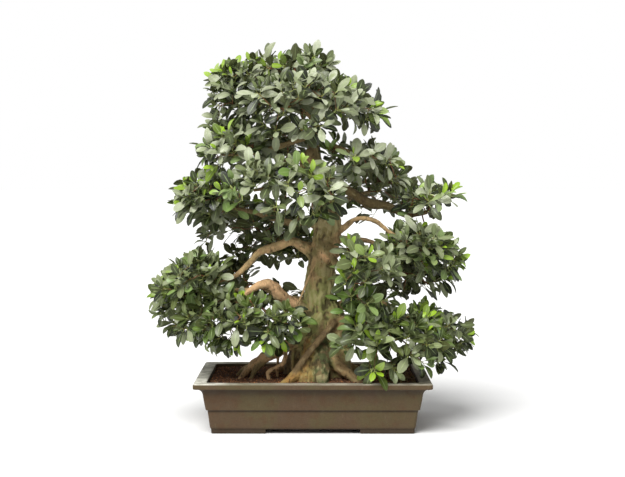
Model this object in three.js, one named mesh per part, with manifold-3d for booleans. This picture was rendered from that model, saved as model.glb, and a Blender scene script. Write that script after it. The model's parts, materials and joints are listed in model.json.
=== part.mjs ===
// A fig tree grown as a bonsai in a shallow rectangular clay pot.
// Millimetres. +Z is up, +X is to the right and +Y away from someone who looks at the tree's front.

import * as THREE from "three";
import { mergeVertices } from "three/addons/utils/BufferGeometryUtils.js";
import Module from "manifold-3d";

const wasm = await Module();
wasm.setup();

// Driving dimensions of the pot
const RIM_LENGTH = 650;
const RIM_DEPTH = 468;
const POT_HEIGHT = 142;
const RIM_THICKNESS = 15;
const RIM_LEDGE = 34;
const RIM_CORNER = 9;
const RIM_TOP_WEAR = 1.5;
const RIM_CHAMFER = 3.5;
const INNER_CORNER = 14;
const CORNER_STEPS = 2;
const FOOT_HEIGHT = 12;
const FOOT_LENGTH = 150;
const FOOT_DEPTH = 120;
const FOOT_WIDTH = 38;
const FOOT_SUNK = 3;
const FLOOR_THICKNESS = 14;
const WALL_THICKNESS = 13;
const WALL_STEP_HEIGHT = 66;
const WALL_STEP_SLOPE = 2;
const LOWER_EDGE_ROUNDING = 6;
const DRAIN_DIAMETER = 34;
const DRAIN_SPACING = 250;
const DRAIN_SIDES = 12;

// How far the pot's outside lies in from the edge of its rim, from top to bottom
const WALL_TOP_INSET = 25;
const WALL_STEP_INSET = 32;
const BAND_TOP_INSET = 37;
const BAND_BOTTOM_INSET = 43;
const FOOT_INSET = 47;

// Heights and insets that follow from these
const RIM_BOTTOM = POT_HEIGHT - RIM_THICKNESS;
const FLOOR_TOP = FOOT_HEIGHT + FLOOR_THICKNESS;
const INNER_INSET = WALL_TOP_INSET + WALL_THICKNESS;
const OPENING_INSET = RIM_LEDGE + 1;

// The hollow under the rim, from the wall out to the rim: [inset from the rim's edge, height]
const COVE_BOTTOM = 110;
const COVE = [[WALL_TOP_INSET, COVE_BOTTOM], [21, 120], [11, 126], [3, RIM_BOTTOM]];

// Driving dimensions of the soil and the drainage nets
const SOIL_BELOW_RIM = 9;
const SOIL_EDGE_GAP = 2.5;
const NET_SIZE = 70;
const NET_THICKNESS = 1.6;
const NET_HOLES = 2;
const NET_BAR = 8;

// Heap of the soil, from its edge to its top: distance in from the rim's ledge, rise and corner radius
const SOIL_HEAP = [{ inset: 45, rise: 2, corner: 20 }, { inset: 125, rise: 9, corner: 30 }];

// Sides of the trunk's section
const TRUNK_SIDES = 9;

// Driving dimensions of the leaves and of the shoots that carry them
const LEAF_LENGTH = 63;
const LEAF_LENGTH_SPREAD = 0.16;
const LEAF_WIDTH_RATIO = 0.5;
const LEAF_THICKNESS = 0.8;
const LEAF_ARCH = 0.07;
const STEM_RADIUS = 2.8;
const STEM_SPACING = 26;
const TIP_RADIUS = 1.7;
const NODE_LENGTH = 6;
const TWIG_LENGTH = 48;
const TWIG_PLACES = [42, 72];
const GOLDEN_ANGLE = THREE.MathUtils.degToRad(137.5);

// Outline of a leaf, as shares of its length, of its width and of the rise of its arch
const LEAF_NECK = { along: 0.09, rise: 0.2, half: NODE_LENGTH * 0.4 };
const LEAF_MIDDLE = { along: 0.4, rise: 0.8, width: 0.74 };
const LEAF_WIDEST = { along: 0.7, rise: 1, width: 1 };

// How far leaves lean away from the stem or twig that carries them, in radians
const STEM_PAIR_TILT = 1.2;
const STEM_TIP_TILT = 0.75;
const TWIG_PAIR_TILT = 0.95;
const TWIG_TIP_TILT = 0.2;

// How often a leaf or a shoot is tried, and how much more loosely each time
const LEAF_TRIALS = 12;
const LEAF_LOOSENESS = 0.25;
const LEAF_LOOSENING = 0.08;
const SHOOT_TRIALS = 40;
const SHOOT_LOOSENING = 3;

const UP = new THREE.Vector3(0, 0, 1);

// Clearance between pieces that touch, and round a stem while its way is looked for
const GAP = 0.35;
const STEM_CLEARANCE = GAP + 0.5;

// Colours
const CLAY = 0x5f4f3c;
const EARTH = 0x4a3324;
const BARK = 0x84704b;
const LEAF_GREENS = [0x4f6e4a, 0x668468, 0x3f5c38, 0x7a9a66];
const NET_BLACK = 0x2b2f2b;

// A seeded random number from 0 to 1
function seeded(seed) {
  let state = seed;
  return () => {
    state = (state * 1664525 + 1013904223) % 4294967296;
    return state / 4294967296;
  };
}

function between(random, low, high) {
  return low + (high - low) * random();
}

// Closed geometry to solid and back
function solidOf(geometry) {
  const bare = geometry.clone();
  bare.deleteAttribute("normal");
  bare.deleteAttribute("uv");
  const merged = mergeVertices(bare, 1e-4);
  return new wasm.Manifold(new wasm.Mesh({
    numProp: 3,
    vertProperties: new Float32Array(merged.attributes.position.array),
    triVerts: new Uint32Array(merged.index.array),
  }));
}

function geometryOf(solid) {
  const mesh = solid.getMesh();
  const geometry = new THREE.BufferGeometry();
  geometry.setAttribute("position", new THREE.BufferAttribute(mesh.vertProperties, 3));
  geometry.setIndex(new THREE.BufferAttribute(mesh.triVerts, 1));
  geometry.computeVertexNormals();
  return geometry;
}

function joined(solids) {
  return solids.reduce((whole, solid) => whole.add(solid));
}

// Of a solid that a cut left in several bodies, the largest
function largestBody(solid) {
  const bodies = solid.decompose();
  return bodies.reduce((best, body) => (body.volume() > best.volume() ? body : best));
}

function meshFromFaces(points, faces) {
  const geometry = new THREE.BufferGeometry();
  geometry.setAttribute("position", new THREE.Float32BufferAttribute(points.flat(), 3));
  geometry.setIndex(faces.flat());
  return geometry;
}

// A closed skin over a stack of rings with equal numbers of points, its two ends closed by fans
function skinOverRings(rings) {
  const count = rings[0].length;
  const points = rings.flat();
  const faces = [];
  for (let ring = 0; ring + 1 < rings.length; ring += 1) {
    for (let side = 0; side < count; side += 1) {
      const next = (side + 1) % count;
      const a = ring * count + side;
      const b = ring * count + next;
      faces.push([a, b, b + count], [a, b + count, a + count]);
    }
  }
  const last = (rings.length - 1) * count;
  for (let side = 1; side + 1 < count; side += 1) {
    faces.push([0, side + 1, side], [last, last + side, last + side + 1]);
  }
  return meshFromFaces(points, faces);
}

// Rectangle with round corners as a ring of points at one height
function roundedRectangle(halfLength, halfDepth, corner, height) {
  const ring = [];
  const centres = [[1, 1, 0], [-1, 1, 90], [-1, -1, 180], [1, -1, 270]];
  for (const [signX, signY, start] of centres) {
    for (let step = 0; step <= CORNER_STEPS; step += 1) {
      const angle = THREE.MathUtils.degToRad(start + (90 * step) / CORNER_STEPS);
      ring.push([
        signX * (halfLength - corner) + corner * Math.cos(angle),
        signY * (halfDepth - corner) + corner * Math.sin(angle),
        height,
      ]);
    }
  }
  return ring;
}

// Ring of the pot's outline, drawn in from the rim by an inset
function potRing(inset, height, corner = RIM_CORNER) {
  return roundedRectangle(RIM_LENGTH / 2 - inset, RIM_DEPTH / 2 - inset, corner, height);
}

function cylinderSolid(radius, bottom, top, x, y, sides) {
  const geometry = new THREE.CylinderGeometry(radius, radius, top - bottom, sides);
  geometry.rotateX(Math.PI / 2);
  geometry.translate(x, y, (top + bottom) / 2);
  return solidOf(geometry);
}

function boxSolid(low, high) {
  const geometry = new THREE.BoxGeometry(high[0] - low[0], high[1] - low[1], high[2] - low[2]);
  geometry.translate((low[0] + high[0]) / 2, (low[1] + high[1]) / 2, (low[2] + high[2]) / 2);
  return solidOf(geometry);
}

// L-shaped foot under one corner, with slanted ends
function potFoot(signX, signY) {
  const outline = new THREE.Shape();
  outline.moveTo(0, 0);
  outline.lineTo(FOOT_LENGTH, 0);
  outline.lineTo(FOOT_LENGTH - FOOT_HEIGHT, FOOT_WIDTH);
  outline.lineTo(FOOT_WIDTH, FOOT_WIDTH);
  outline.lineTo(FOOT_WIDTH, FOOT_DEPTH - FOOT_HEIGHT);
  outline.lineTo(0, FOOT_DEPTH);
  outline.closePath();
  const foot = new THREE.ExtrudeGeometry(outline, { depth: FOOT_HEIGHT + FOOT_SUNK, bevelEnabled: false });
  const cornerX = RIM_LENGTH / 2 - FOOT_INSET;
  const cornerY = RIM_DEPTH / 2 - FOOT_INSET;
  foot.applyMatrix4(new THREE.Matrix4().makeScale(-signX, -signY, 1));
  foot.translate(signX * cornerX, signY * cornerY, 0);
  // Mirrored once, a shape's faces point inwards, and mirrored twice they point outwards again
  if (signX * signY < 0) {
    flipFaces(foot);
  }
  return solidOf(foot);
}

function flipFaces(geometry) {
  if (geometry.index === null) {
    const count = geometry.attributes.position.count;
    geometry.setIndex(Array.from({ length: count }, (unused, corner) => corner));
  }
  const index = geometry.index.array;
  for (let corner = 0; corner < index.length; corner += 3) {
    [index[corner], index[corner + 1]] = [index[corner + 1], index[corner]];
  }
}

function drainCentres() {
  return [-DRAIN_SPACING / 2, DRAIN_SPACING / 2];
}

function makePot() {
  const rings = [
    potRing(BAND_BOTTOM_INSET + LOWER_EDGE_ROUNDING, FOOT_HEIGHT),
    potRing(BAND_BOTTOM_INSET, FOOT_HEIGHT + LOWER_EDGE_ROUNDING),
    potRing(BAND_TOP_INSET, WALL_STEP_HEIGHT - WALL_STEP_SLOPE),
    potRing(WALL_STEP_INSET, WALL_STEP_HEIGHT),
    ...COVE.map(([inset, height]) => potRing(inset, height)),
    potRing(0, RIM_BOTTOM + RIM_CHAMFER),
    potRing(0, POT_HEIGHT - RIM_TOP_WEAR),
    potRing(RIM_TOP_WEAR, POT_HEIGHT),
    potRing(RIM_LEDGE, POT_HEIGHT, INNER_CORNER),
    potRing(OPENING_INSET, RIM_BOTTOM, INNER_CORNER),
    potRing(INNER_INSET, COVE_BOTTOM, INNER_CORNER),
    potRing(BAND_BOTTOM_INSET + WALL_THICKNESS, FLOOR_TOP, INNER_CORNER),
  ];
  const feet = [[-1, -1], [1, -1], [1, 1], [-1, 1]].map(([x, y]) => potFoot(x, y));
  let pot = joined([solidOf(skinOverRings(rings)), ...feet]);
  for (const x of drainCentres()) {
    pot = pot.subtract(cylinderSolid(DRAIN_DIAMETER / 2, -1, FLOOR_TOP + 1, x, 0, DRAIN_SIDES));
  }
  return pot;
}

// Square of drainage net that lies on the pot's floor over one hole
function makeNet(x) {
  const bottom = FLOOR_TOP + GAP;
  const half = NET_SIZE / 2;
  let net = boxSolid([x - half, -half, bottom], [x + half, half, bottom + NET_THICKNESS]);
  const pitch = (NET_SIZE - NET_BAR) / NET_HOLES;
  for (let column = 0; column < NET_HOLES; column += 1) {
    for (let row = 0; row < NET_HOLES; row += 1) {
      const holeX = x - half + NET_BAR + column * pitch;
      const holeY = -half + NET_BAR + row * pitch;
      const low = [holeX, holeY, bottom - 1];
      const high = [holeX + pitch - NET_BAR, holeY + pitch - NET_BAR, bottom + NET_THICKNESS + 1];
      net = net.subtract(boxSolid(low, high));
    }
  }
  return net;
}

// The space that a net takes in the soil, from the floor up
function netGuard(x) {
  const half = NET_SIZE / 2 + GAP;
  return boxSolid([x - half, -half, FLOOR_TOP - 1], [x + half, half, FLOOR_TOP + NET_THICKNESS + 2 * GAP]);
}

// Soil bed: follows the pot's inside, heaped a little towards the trunk
function soilBed() {
  const top = POT_HEIGHT - SOIL_BELOW_RIM;
  const edge = OPENING_INSET + GAP + SOIL_EDGE_GAP;
  const rings = [
    potRing(BAND_BOTTOM_INSET + WALL_THICKNESS + GAP, FLOOR_TOP + GAP, INNER_CORNER),
    potRing(INNER_INSET + GAP, COVE_BOTTOM, INNER_CORNER),
    potRing(edge, RIM_BOTTOM, INNER_CORNER),
    potRing(edge, top, INNER_CORNER),
    ...SOIL_HEAP.map(({ inset, rise, corner }) => potRing(RIM_LEDGE + inset, top + rise, corner)),
  ];
  return solidOf(skinOverRings(rings));
}

// Limb: a tapering round solid through points [x, y, z, radius], with a chosen number of sides and steps
function limbCurve(points) {
  const places = points.map(([x, y, z]) => new THREE.Vector3(x, y, z));
  return new THREE.CatmullRomCurve3(places, false, "centripetal");
}

function limbRadius(points, fraction) {
  const place = fraction * (points.length - 1);
  const first = Math.min(Math.floor(place), points.length - 2);
  const share = place - first;
  return points[first][3] * (1 - share) + points[first + 1][3] * share;
}

function limbSolid(points, sides, steps, grow = 0) {
  const curve = limbCurve(points);
  const rings = [];
  const normal = new THREE.Vector3();
  const binormal = new THREE.Vector3();
  let previous = new THREE.Vector3(0.31, 0.94, 0.12).normalize();
  for (let step = 0; step <= steps; step += 1) {
    const fraction = step / steps;
    const centre = curve.getPoint(fraction);
    const tangent = curve.getTangent(fraction);
    if (step === 0) {
      centre.addScaledVector(tangent, -grow);
    }
    if (step === steps) {
      centre.addScaledVector(tangent, grow);
    }
    normal.copy(previous).addScaledVector(tangent, -previous.dot(tangent)).normalize();
    binormal.crossVectors(tangent, normal);
    previous = normal.clone();
    const radius = limbRadius(points, fraction) + grow;
    const ring = [];
    for (let side = 0; side < sides; side += 1) {
      const angle = (2 * Math.PI * side) / sides;
      const spoke = normal.clone().multiplyScalar(Math.cos(angle)).addScaledVector(binormal, Math.sin(angle));
      ring.push(centre.clone().addScaledVector(spoke, radius).toArray());
    }
    rings.push(ring);
  }
  return solidOf(skinOverRings(rings));
}

// Trunk, main branches and roots: [x, y, z, radius] along each, from its thick end
const TRUNK = [
  [10, -65, 95, 66], [12, -62, 150, 58], [10, -58, 205, 46], [12, -54, 260, 43], [17, -50, 315, 42],
  [17, -48, 370, 38], [20, -46, 425, 35], [25, -45, 475, 36], [35, -45, 520, 36], [42, -45, 560, 35],
  [40, -44, 610, 31], [28, -42, 660, 27], [14, -40, 710, 22], [5, -40, 760, 17], [0, -40, 800, 15],
  [2, -38, 840, 13], [-5, -36, 885, 10], [-22, -35, 935, 8], [-36, -34, 980, 5.5],
];

const BRANCHES = {
  lowLeft: [
    [-5, -58, 300, 22], [-41, -66, 336, 19], [-72, -82, 361, 16], [-95, -92, 388, 13],
    [-120, -102, 406, 11.5], [-155, -110, 396, 9], [-184, -118, 371, 7], [-220, -125, 342, 6],
    [-280, -128, 310, 4.5],
  ],
  lowLeftFar: [[-165, -112, 390, 7], [-210, -95, 385, 6], [-265, -70, 380, 5], [-320, -50, 375, 4]],
  midLeft: [
    [12, -48, 470, 17], [-22, -55, 500, 15], [-60, -68, 520, 13], [-105, -78, 506, 12], [-150, -82, 490, 11],
    [-186, -80, 452, 8.5], [-225, -74, 420, 6.5], [-300, -68, 400, 4.5],
  ],
  backLeft: [
    [24, -40, 555, 15], [-17, 0, 574, 13], [-63, 30, 568, 11.5], [-178, 60, 600, 7.5],
    [-310, 55, 625, 4],
  ],
  upperLeft: [
    [0, -40, 820, 11], [-30, -48, 809, 10], [-90, -62, 787, 8], [-165, -66, 768, 6],
    [-255, -60, 762, 4],
  ],
  frontLeft: [
    [0, -45, 780, 10], [-25, -85, 755, 9], [-40, -145, 705, 7], [-90, -180, 680, 6],
    [-160, -195, 665, 4],
  ],
  upperRight: [[2, -42, 795, 8], [30, -50, 792, 6.5], [80, -55, 780, 5.5], [140, -47, 755, 4]],
  bigRight: [
    [14, -40, 705, 17], [55, -25, 695, 14.5], [100, -10, 660, 14], [160, 8, 626, 14], [210, 13, 618, 11.5],
    [265, 15, 592, 8.5], [325, 8, 600, 5.5],
  ],
  archRight: [
    [48, -45, 540, 14], [82, -55, 555, 10], [120, -68, 583, 7.5], [168, -78, 580, 7], [214, -80, 546, 6],
    [280, -72, 500, 4],
  ],
  midRight: [
    [52, -45, 525, 12], [105, -47, 526, 8], [165, -34, 517, 6.5], [215, -14, 483, 5],
    [250, 10, 430, 3.5],
  ],
  knob: [
    [28, -55, 520, 15], [50, -95, 495, 13], [66, -130, 458, 9], [90, -165, 430, 6],
    [115, -190, 412, 4],
  ],
  lowRight: [
    [30, -58, 270, 20], [85, -84, 298, 15], [133, -114, 305, 12.5], [172, -138, 273, 9],
    [215, -155, 255, 5],
  ],
  highRight: [
    [36, -48, 315, 18], [95, -36, 344, 14], [165, -20, 350, 12.5], [230, -3, 322, 11], [270, 8, 290, 8.5],
    [335, 16, 262, 5],
  ],
  backHigh: [[20, -35, 670, 12], [0, 40, 692, 9.5], [-30, 100, 712, 7.5], [-80, 160, 738, 5]],
  backRight: [[38, -38, 590, 13], [66, 30, 618, 11], [110, 100, 640, 8], [165, 165, 655, 5]],
  backLeftLow: [[20, -35, 500, 13], [-25, 30, 505, 10.5], [-90, 100, 515, 7.5], [-150, 155, 530, 5]],
  backLow: [[30, -35, 450, 13], [60, 35, 450, 11], [100, 100, 425, 8], [145, 160, 400, 5]],
  backBottom: [[5, -40, 335, 14], [-30, 30, 345, 11], [-85, 95, 350, 8], [-140, 150, 365, 5]],
  crownLeft: [[-3, -38, 865, 8], [-45, -46, 897, 7], [-110, -55, 920, 5.5], [-180, -56, 925, 4]],
  crownRight: [[0, -38, 850, 8], [40, -40, 874, 6.5], [115, -42, 890, 4]],
  crownBack: [[-6, -35, 890, 7], [-18, 30, 925, 5.5], [-35, 90, 950, 4]],
  crownFront: [[-3, -38, 880, 7], [-20, -95, 898, 5.5], [-40, -145, 905, 4]],
};

const ROOTS = {
  left: [
    [0, -58, 270, 26], [-60, -56, 236, 18], [-115, -44, 200, 14], [-165, -32, 165, 11],
    [-215, -20, 122, 6],
  ],
  leftBack: [[5, -50, 220, 26], [-45, 0, 175, 18], [-95, 45, 146, 12], [-150, 70, 118, 7]],
  curl: [[-55, -70, 225, 7], [-72, -95, 200, 6], [-98, -110, 165, 6], [-110, -118, 118, 5]],
  frontDiagonal: [
    [45, -90, 285, 9], [5, -112, 235, 8], [-25, -128, 195, 8], [-62, -150, 150, 8],
    [-82, -158, 118, 6],
  ],
  frontLeft: [[5, -75, 220, 28], [-15, -118, 180, 20], [-52, -150, 152, 15], [-95, -172, 122, 8]],
  front: [[18, -70, 230, 32], [22, -112, 185, 28], [24, -150, 150, 22], [26, -178, 115, 12]],
  frontRight: [[25, -70, 225, 26], [70, -105, 175, 18], [112, -135, 146, 12], [150, -155, 118, 7]],
  right: [[25, -55, 230, 26], [80, -50, 178, 18], [135, -40, 146, 12], [190, -32, 118, 7]],
  back: [[10, -45, 230, 28], [20, 10, 172, 20], [35, 60, 145, 13], [50, 110, 118, 7]],
  hangingLong: [
    [8, -74, 465, 5], [-12, -92, 420, 3.4], [-32, -104, 372, 3], [-55, -108, 320, 3],
    [-66, -84, 262, 3.5],
  ],
  hangingLeft: [[-98, -48, 212, 4], [-100, -50, 165, 3.5], [-101, -50, 118, 3.5]],
  hangingNear: [[-55, -60, 240, 4.5], [-57, -64, 180, 4], [-58, -66, 118, 4]],
};

// Sides of a limb, by how thick it starts
function limbSides(points) {
  const thick = points[0][3];
  return thick > 18 ? 5 : 4;
}

// The trunk and every limb, each with a ring at every one of its points
function woodPieces(grow) {
  const trunk = limbSolid(TRUNK, TRUNK_SIDES, TRUNK.length - 1, grow);
  const limbs = [...Object.values(BRANCHES), ...Object.values(ROOTS)];
  return [trunk, ...limbs.map((points) => limbSolid(points, limbSides(points), points.length - 1, grow))];
}

// Where a solid is, for a first quick test of whether two can meet
function obstacle(solid, owner) {
  return { solid, owner, box: solid.boundingBox() };
}

function boxesMeet(a, b) {
  return [0, 1, 2].every((axis) => a.min[axis] <= b.max[axis] && b.min[axis] <= a.max[axis]);
}

function solidsMeet(a, b) {
  const common = a.intersect(b);
  const meet = !common.isEmpty();
  common.delete();
  return meet;
}

function isClear(candidate, obstacles) {
  return obstacles.every((other) => (
    !boxesMeet(candidate.box, other.box) || !solidsMeet(candidate.solid, other.solid)
  ));
}

// Leaf: an obovate arched blade that narrows to its stalk. It is a stack of flat four-cornered sections
// and a tip edge, placed at a point, along a direction and with its face as near as can be to a wanted one.
function leafSections(leaf, grow = 0) {
  const along = leaf.direction.clone().normalize();
  const across = new THREE.Vector3().crossVectors(along, leaf.facing).normalize();
  const face = new THREE.Vector3().crossVectors(across, along);
  const place = (x, y, z) => leaf.base.clone()
    .addScaledVector(across, x).addScaledVector(along, y).addScaledVector(face, z).toArray();
  const lift = LEAF_THICKNESS / 2 + grow;
  const arch = leaf.length * LEAF_ARCH;
  const section = (half, y, z, rise = lift) => [
    place(-half - grow, y, z + rise), place(half + grow, y, z + rise),
    place(half + grow, y, z - rise), place(-half - grow, y, z - rise),
  ];
  const blade = ({ along: share, width, rise }) => (
    section((leaf.width / 2) * width, leaf.length * share, arch * rise)
  );
  return {
    neck: section(LEAF_NECK.half, leaf.length * LEAF_NECK.along, arch * LEAF_NECK.rise, LEAF_NECK.half),
    middle: blade(LEAF_MIDDLE),
    wide: blade(LEAF_WIDEST),
    tip: [place(0, leaf.length + grow, lift), place(0, leaf.length + grow, -lift)],
  };
}

// Triangles that fill a ring of corners
function fan(corners) {
  return corners.slice(2).map((corner, index) => [corners[0], corners[index + 1], corner]);
}

// Whether an edge passes through a triangle of points
function edgeCrosses(start, end, triangle) {
  const [a, b, c] = triangle;
  const normal = new THREE.Vector3().crossVectors(b.clone().sub(a), c.clone().sub(a));
  const [before, after] = [start, end].map((point) => normal.dot(point.clone().sub(a)));
  if (before * after >= 0) {
    return false;
  }
  const meeting = start.clone().lerp(end, before / (before - after));
  return [[a, b], [b, c], [c, a]].every(([from, to]) => (
    new THREE.Vector3().crossVectors(to.clone().sub(from), meeting.clone().sub(from)).dot(normal) >= 0
  ));
}

// Closed skin that grows: tubes of rings, any open side of which can carry a twig or a leaf
class Shoot {
  points = [];
  faces = [];

  add(points) {
    return points.map((point) => this.points.push(point) - 1);
  }

  close(corners) {
    this.faces.push(...fan(corners));
  }

  point(corner) {
    return new THREE.Vector3(...this.points[corner]);
  }

  // The sides between two rings, each seen from outside in counter-clockwise order
  sides(low, high) {
    return low.map((corner, side) => {
      const next = (side + 1) % low.length;
      return [corner, low[next], high[next], high[side]];
    });
  }

  // Ring across a direction, counter-clockwise when seen from its tip
  ring(centre, direction, radius, corners) {
    const side = new THREE.Vector3().crossVectors(direction, UP).normalize();
    const other = new THREE.Vector3().crossVectors(direction, side);
    return this.add(Array.from({ length: corners }, (unused, corner) => {
      const angle = (Math.PI * (1 + 2 * corner)) / corners;
      return centre.clone().addScaledVector(side, radius * Math.cos(angle))
        .addScaledVector(other, radius * Math.sin(angle)).toArray();
    }));
  }

  middle(corners) {
    const sum = new THREE.Vector3();
    corners.forEach((corner) => sum.add(this.point(corner)));
    return sum.divideScalar(corners.length);
  }

  normal([a, b, c]) {
    const [first, second, third] = [a, b, c].map((corner) => this.point(corner));
    return second.sub(first).cross(third.sub(first)).normalize();
  }

  // The same ring, started at the corner that twists the skin least against another ring
  aligned(ring, other) {
    const [centre, otherCentre] = [this.middle(ring), this.middle(other)];
    const arm = (corner, from) => this.point(corner).sub(from).normalize();
    const twist = (start) => [0, 1, 2, 3].reduce((sum, corner) => (
      sum + arm(other[corner], otherCentre).distanceTo(arm(ring[(corner + start) % 4], centre))
    ), 0);
    const start = [0, 1, 2, 3].reduce((best, next) => (twist(next) < twist(best) ? next : best));
    return [0, 1, 2, 3].map((corner) => ring[(corner + start) % 4]);
  }

  // Whether two faces cross, apart from at a corner that they share
  facesCross(first, second) {
    return [[first, second], [second, first]].some(([cut, whole]) => {
      const triangle = whole.map((corner) => this.point(corner));
      return [0, 1, 2].some((side) => {
        const [start, end] = [cut[side], cut[(side + 1) % 3]];
        const share = whole.includes(start) || whole.includes(end);
        return !share && edgeCrosses(this.point(start), this.point(end), triangle);
      });
    });
  }

  box(face) {
    return new THREE.Box3().setFromPoints(face.map((corner) => this.point(corner)));
  }

  // Closes the skin over a leaf's sections, from the ring that it starts on to its tip
  closeLeaf(start, sections) {
    const middle = this.add(sections.middle);
    const wide = this.add(sections.wide);
    const [top, bottom] = this.add(sections.tip);
    this.sides(this.aligned(start, middle), middle).forEach((wall) => this.close(wall));
    this.sides(middle, wide).forEach((wall) => this.close(wall));
    this.close([wide[0], wide[1], top]);
    this.close([wide[2], wide[3], bottom]);
    this.close([wide[1], wide[2], bottom, top]);
    this.close([wide[3], wide[0], top, bottom]);
  }

  // Grows a leaf on an open side, unless it would cross itself, this skin or a side that is still open
  growLeaf(side, leaf, openSides) {
    const [pointCount, faceCount] = [this.points.length, this.faces.length];
    this.closeLeaf(side, leafSections(leaf));
    const grown = this.faces.slice(faceCount);
    const present = [...this.faces.slice(0, faceCount), ...openSides.flatMap((open) => fan(open))];
    const boxes = new Map([...present, ...grown].map((face) => [face, this.box(face)]));
    const crossed = grown.some((fresh, index) => (
      [...present, ...grown.slice(index + 1)].some((face) => (
        boxes.get(face).intersectsBox(boxes.get(fresh)) && this.facesCross(face, fresh)
      ))
    ));
    if (crossed) {
      this.points.length = pointCount;
      this.faces.length = faceCount;
    }
    return !crossed;
  }

  solid() {
    return solidOf(meshFromFaces(this.points, this.faces));
  }
}

// A leaf a little larger all round, as a solid from its neck to its tip
function leafGuard(leaf, grow) {
  const sections = leafSections(leaf, grow);
  const guard = new Shoot();
  const neck = guard.add(sections.neck);
  guard.close([...neck].reverse());
  guard.closeLeaf(neck, sections);
  return guard.solid();
}

// Pads of foliage: the limb that carries each, its centre, its reach each way and its number of sprays
const PADS = [
  { name: "crown_top", limb: "trunk", centre: [-45, -30, 1012], reach: [95, 75, 22], sprays: 3 },
  { name: "crown_left", limb: "crownLeft", centre: [-195, -50, 930], reach: [95, 85, 40], sprays: 3 },
  { name: "crown_right", limb: "crownRight", centre: [120, -40, 905], reach: [90, 85, 45], sprays: 3 },
  { name: "crown_front", limb: "crownFront", centre: [-30, -175, 890], reach: [115, 45, 50], sprays: 2 },
  { name: "crown_back", limb: "crownBack", centre: [-35, 145, 935], reach: [110, 60, 45], sprays: 3 },
  { name: "upper_left", limb: "upperLeft", centre: [-250, -70, 775], reach: [85, 95, 35], sprays: 2 },
  { name: "upper_right", limb: "upperRight", centre: [180, -50, 765], reach: [80, 90, 35], sprays: 2 },
  { name: "front", limb: "frontLeft", centre: [-80, -225, 655], reach: [150, 45, 50], sprays: 3 },
  { name: "left", limb: "backLeft", centre: [-310, 40, 640], reach: [90, 105, 40], sprays: 3 },
  { name: "right", limb: "bigRight", centre: [345, 0, 635], reach: [75, 100, 40], sprays: 2 },
  { name: "right_arch", limb: "archRight", centre: [305, -85, 500], reach: [85, 75, 45], sprays: 2 },
  { name: "right_mid", limb: "midRight", centre: [290, 60, 440], reach: [80, 80, 40], sprays: 1 },
  { name: "front_right", limb: "knob", centre: [120, -215, 415], reach: [90, 45, 75], sprays: 2 },
  { name: "left_mid", limb: "midLeft", centre: [-345, -90, 410], reach: [85, 100, 40], sprays: 2 },
  { name: "left_low", limb: "lowLeftFar", centre: [-385, 0, 350], reach: [60, 90, 40], sprays: 1 },
  { name: "left_bottom", limb: "lowLeft", centre: [-215, -145, 285], reach: [135, 65, 45], sprays: 2 },
  { name: "right_low", limb: "highRight", centre: [370, 20, 265], reach: [70, 90, 45], sprays: 2 },
  { name: "front_low", limb: "lowRight", centre: [200, -180, 235], reach: [115, 55, 55], sprays: 2 },
  { name: "back_high", limb: "backHigh", centre: [-100, 215, 760], reach: [95, 60, 45], sprays: 2 },
  { name: "back_right", limb: "backRight", centre: [190, 225, 650], reach: [100, 55, 60], sprays: 2 },
  { name: "back_left", limb: "backLeftLow", centre: [-190, 215, 530], reach: [100, 55, 50], sprays: 2 },
  { name: "back_low", limb: "backLow", centre: [185, 215, 400], reach: [90, 55, 45], sprays: 1 },
  { name: "back_bottom", limb: "backBottom", centre: [-180, 205, 370], reach: [100, 55, 45], sprays: 1 },
];

// Where one spray of a pad ends: spread evenly over the pad's reach, highest in the middle
function sprayEnd(pad, index, turn, loose, random) {
  const out = Math.sqrt((index + 0.6) / pad.sprays);
  const angle = turn + index * GOLDEN_ANGLE;
  const end = new THREE.Vector3(
    pad.centre[0] + pad.reach[0] * out * Math.cos(angle),
    pad.centre[1] + pad.reach[1] * out * Math.sin(angle),
    pad.centre[2] + pad.reach[2] * (1 - 1.4 * out * out),
  );
  return end.add(new THREE.Vector3(
    between(random, -loose, loose), between(random, -loose, loose), between(random, -loose, loose) / 2,
  ));
}

// Where on its limb a spray starts: the first at the limb's tip, each next one further in
function sprayStart(pad, index) {
  const limb = limbCurve(pad.limb === "trunk" ? TRUNK : BRANCHES[pad.limb]);
  return limb.getPointAt(1 - (index * STEM_SPACING) / limb.getLength());
}

// Stem of a spray, from inside the wood to its end
function sprayStem(start, end, random) {
  const reach = end.distanceTo(start);
  const middle = start.clone().lerp(end, 0.5).addScaledVector(UP, reach * between(random, 0.02, 0.12));
  return new THREE.CatmullRomCurve3([start, middle, end]);
}

// Shares of a stem's length where the guard round it bends: all of it, and what lies clear of the limb
const WHOLE_STEM = [0, 0.3, 0.6, 1];
const OUTER_STEM = [0.35, 0.6, 0.8, 1];

function stemGuard(curve, shares) {
  const line = shares.map((share) => [...curve.getPointAt(share).toArray(), STEM_RADIUS]);
  return limbSolid(line, 4, shares.length - 1, STEM_CLEARANCE);
}

// Sides of a stem left open for a twig, a pair of leaves or the three leaves at the tip, by the ring below
const OPEN_SIDES = { 1: [0], 3: [2], 5: [0, 1], 6: [0, 1, 2] };

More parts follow.
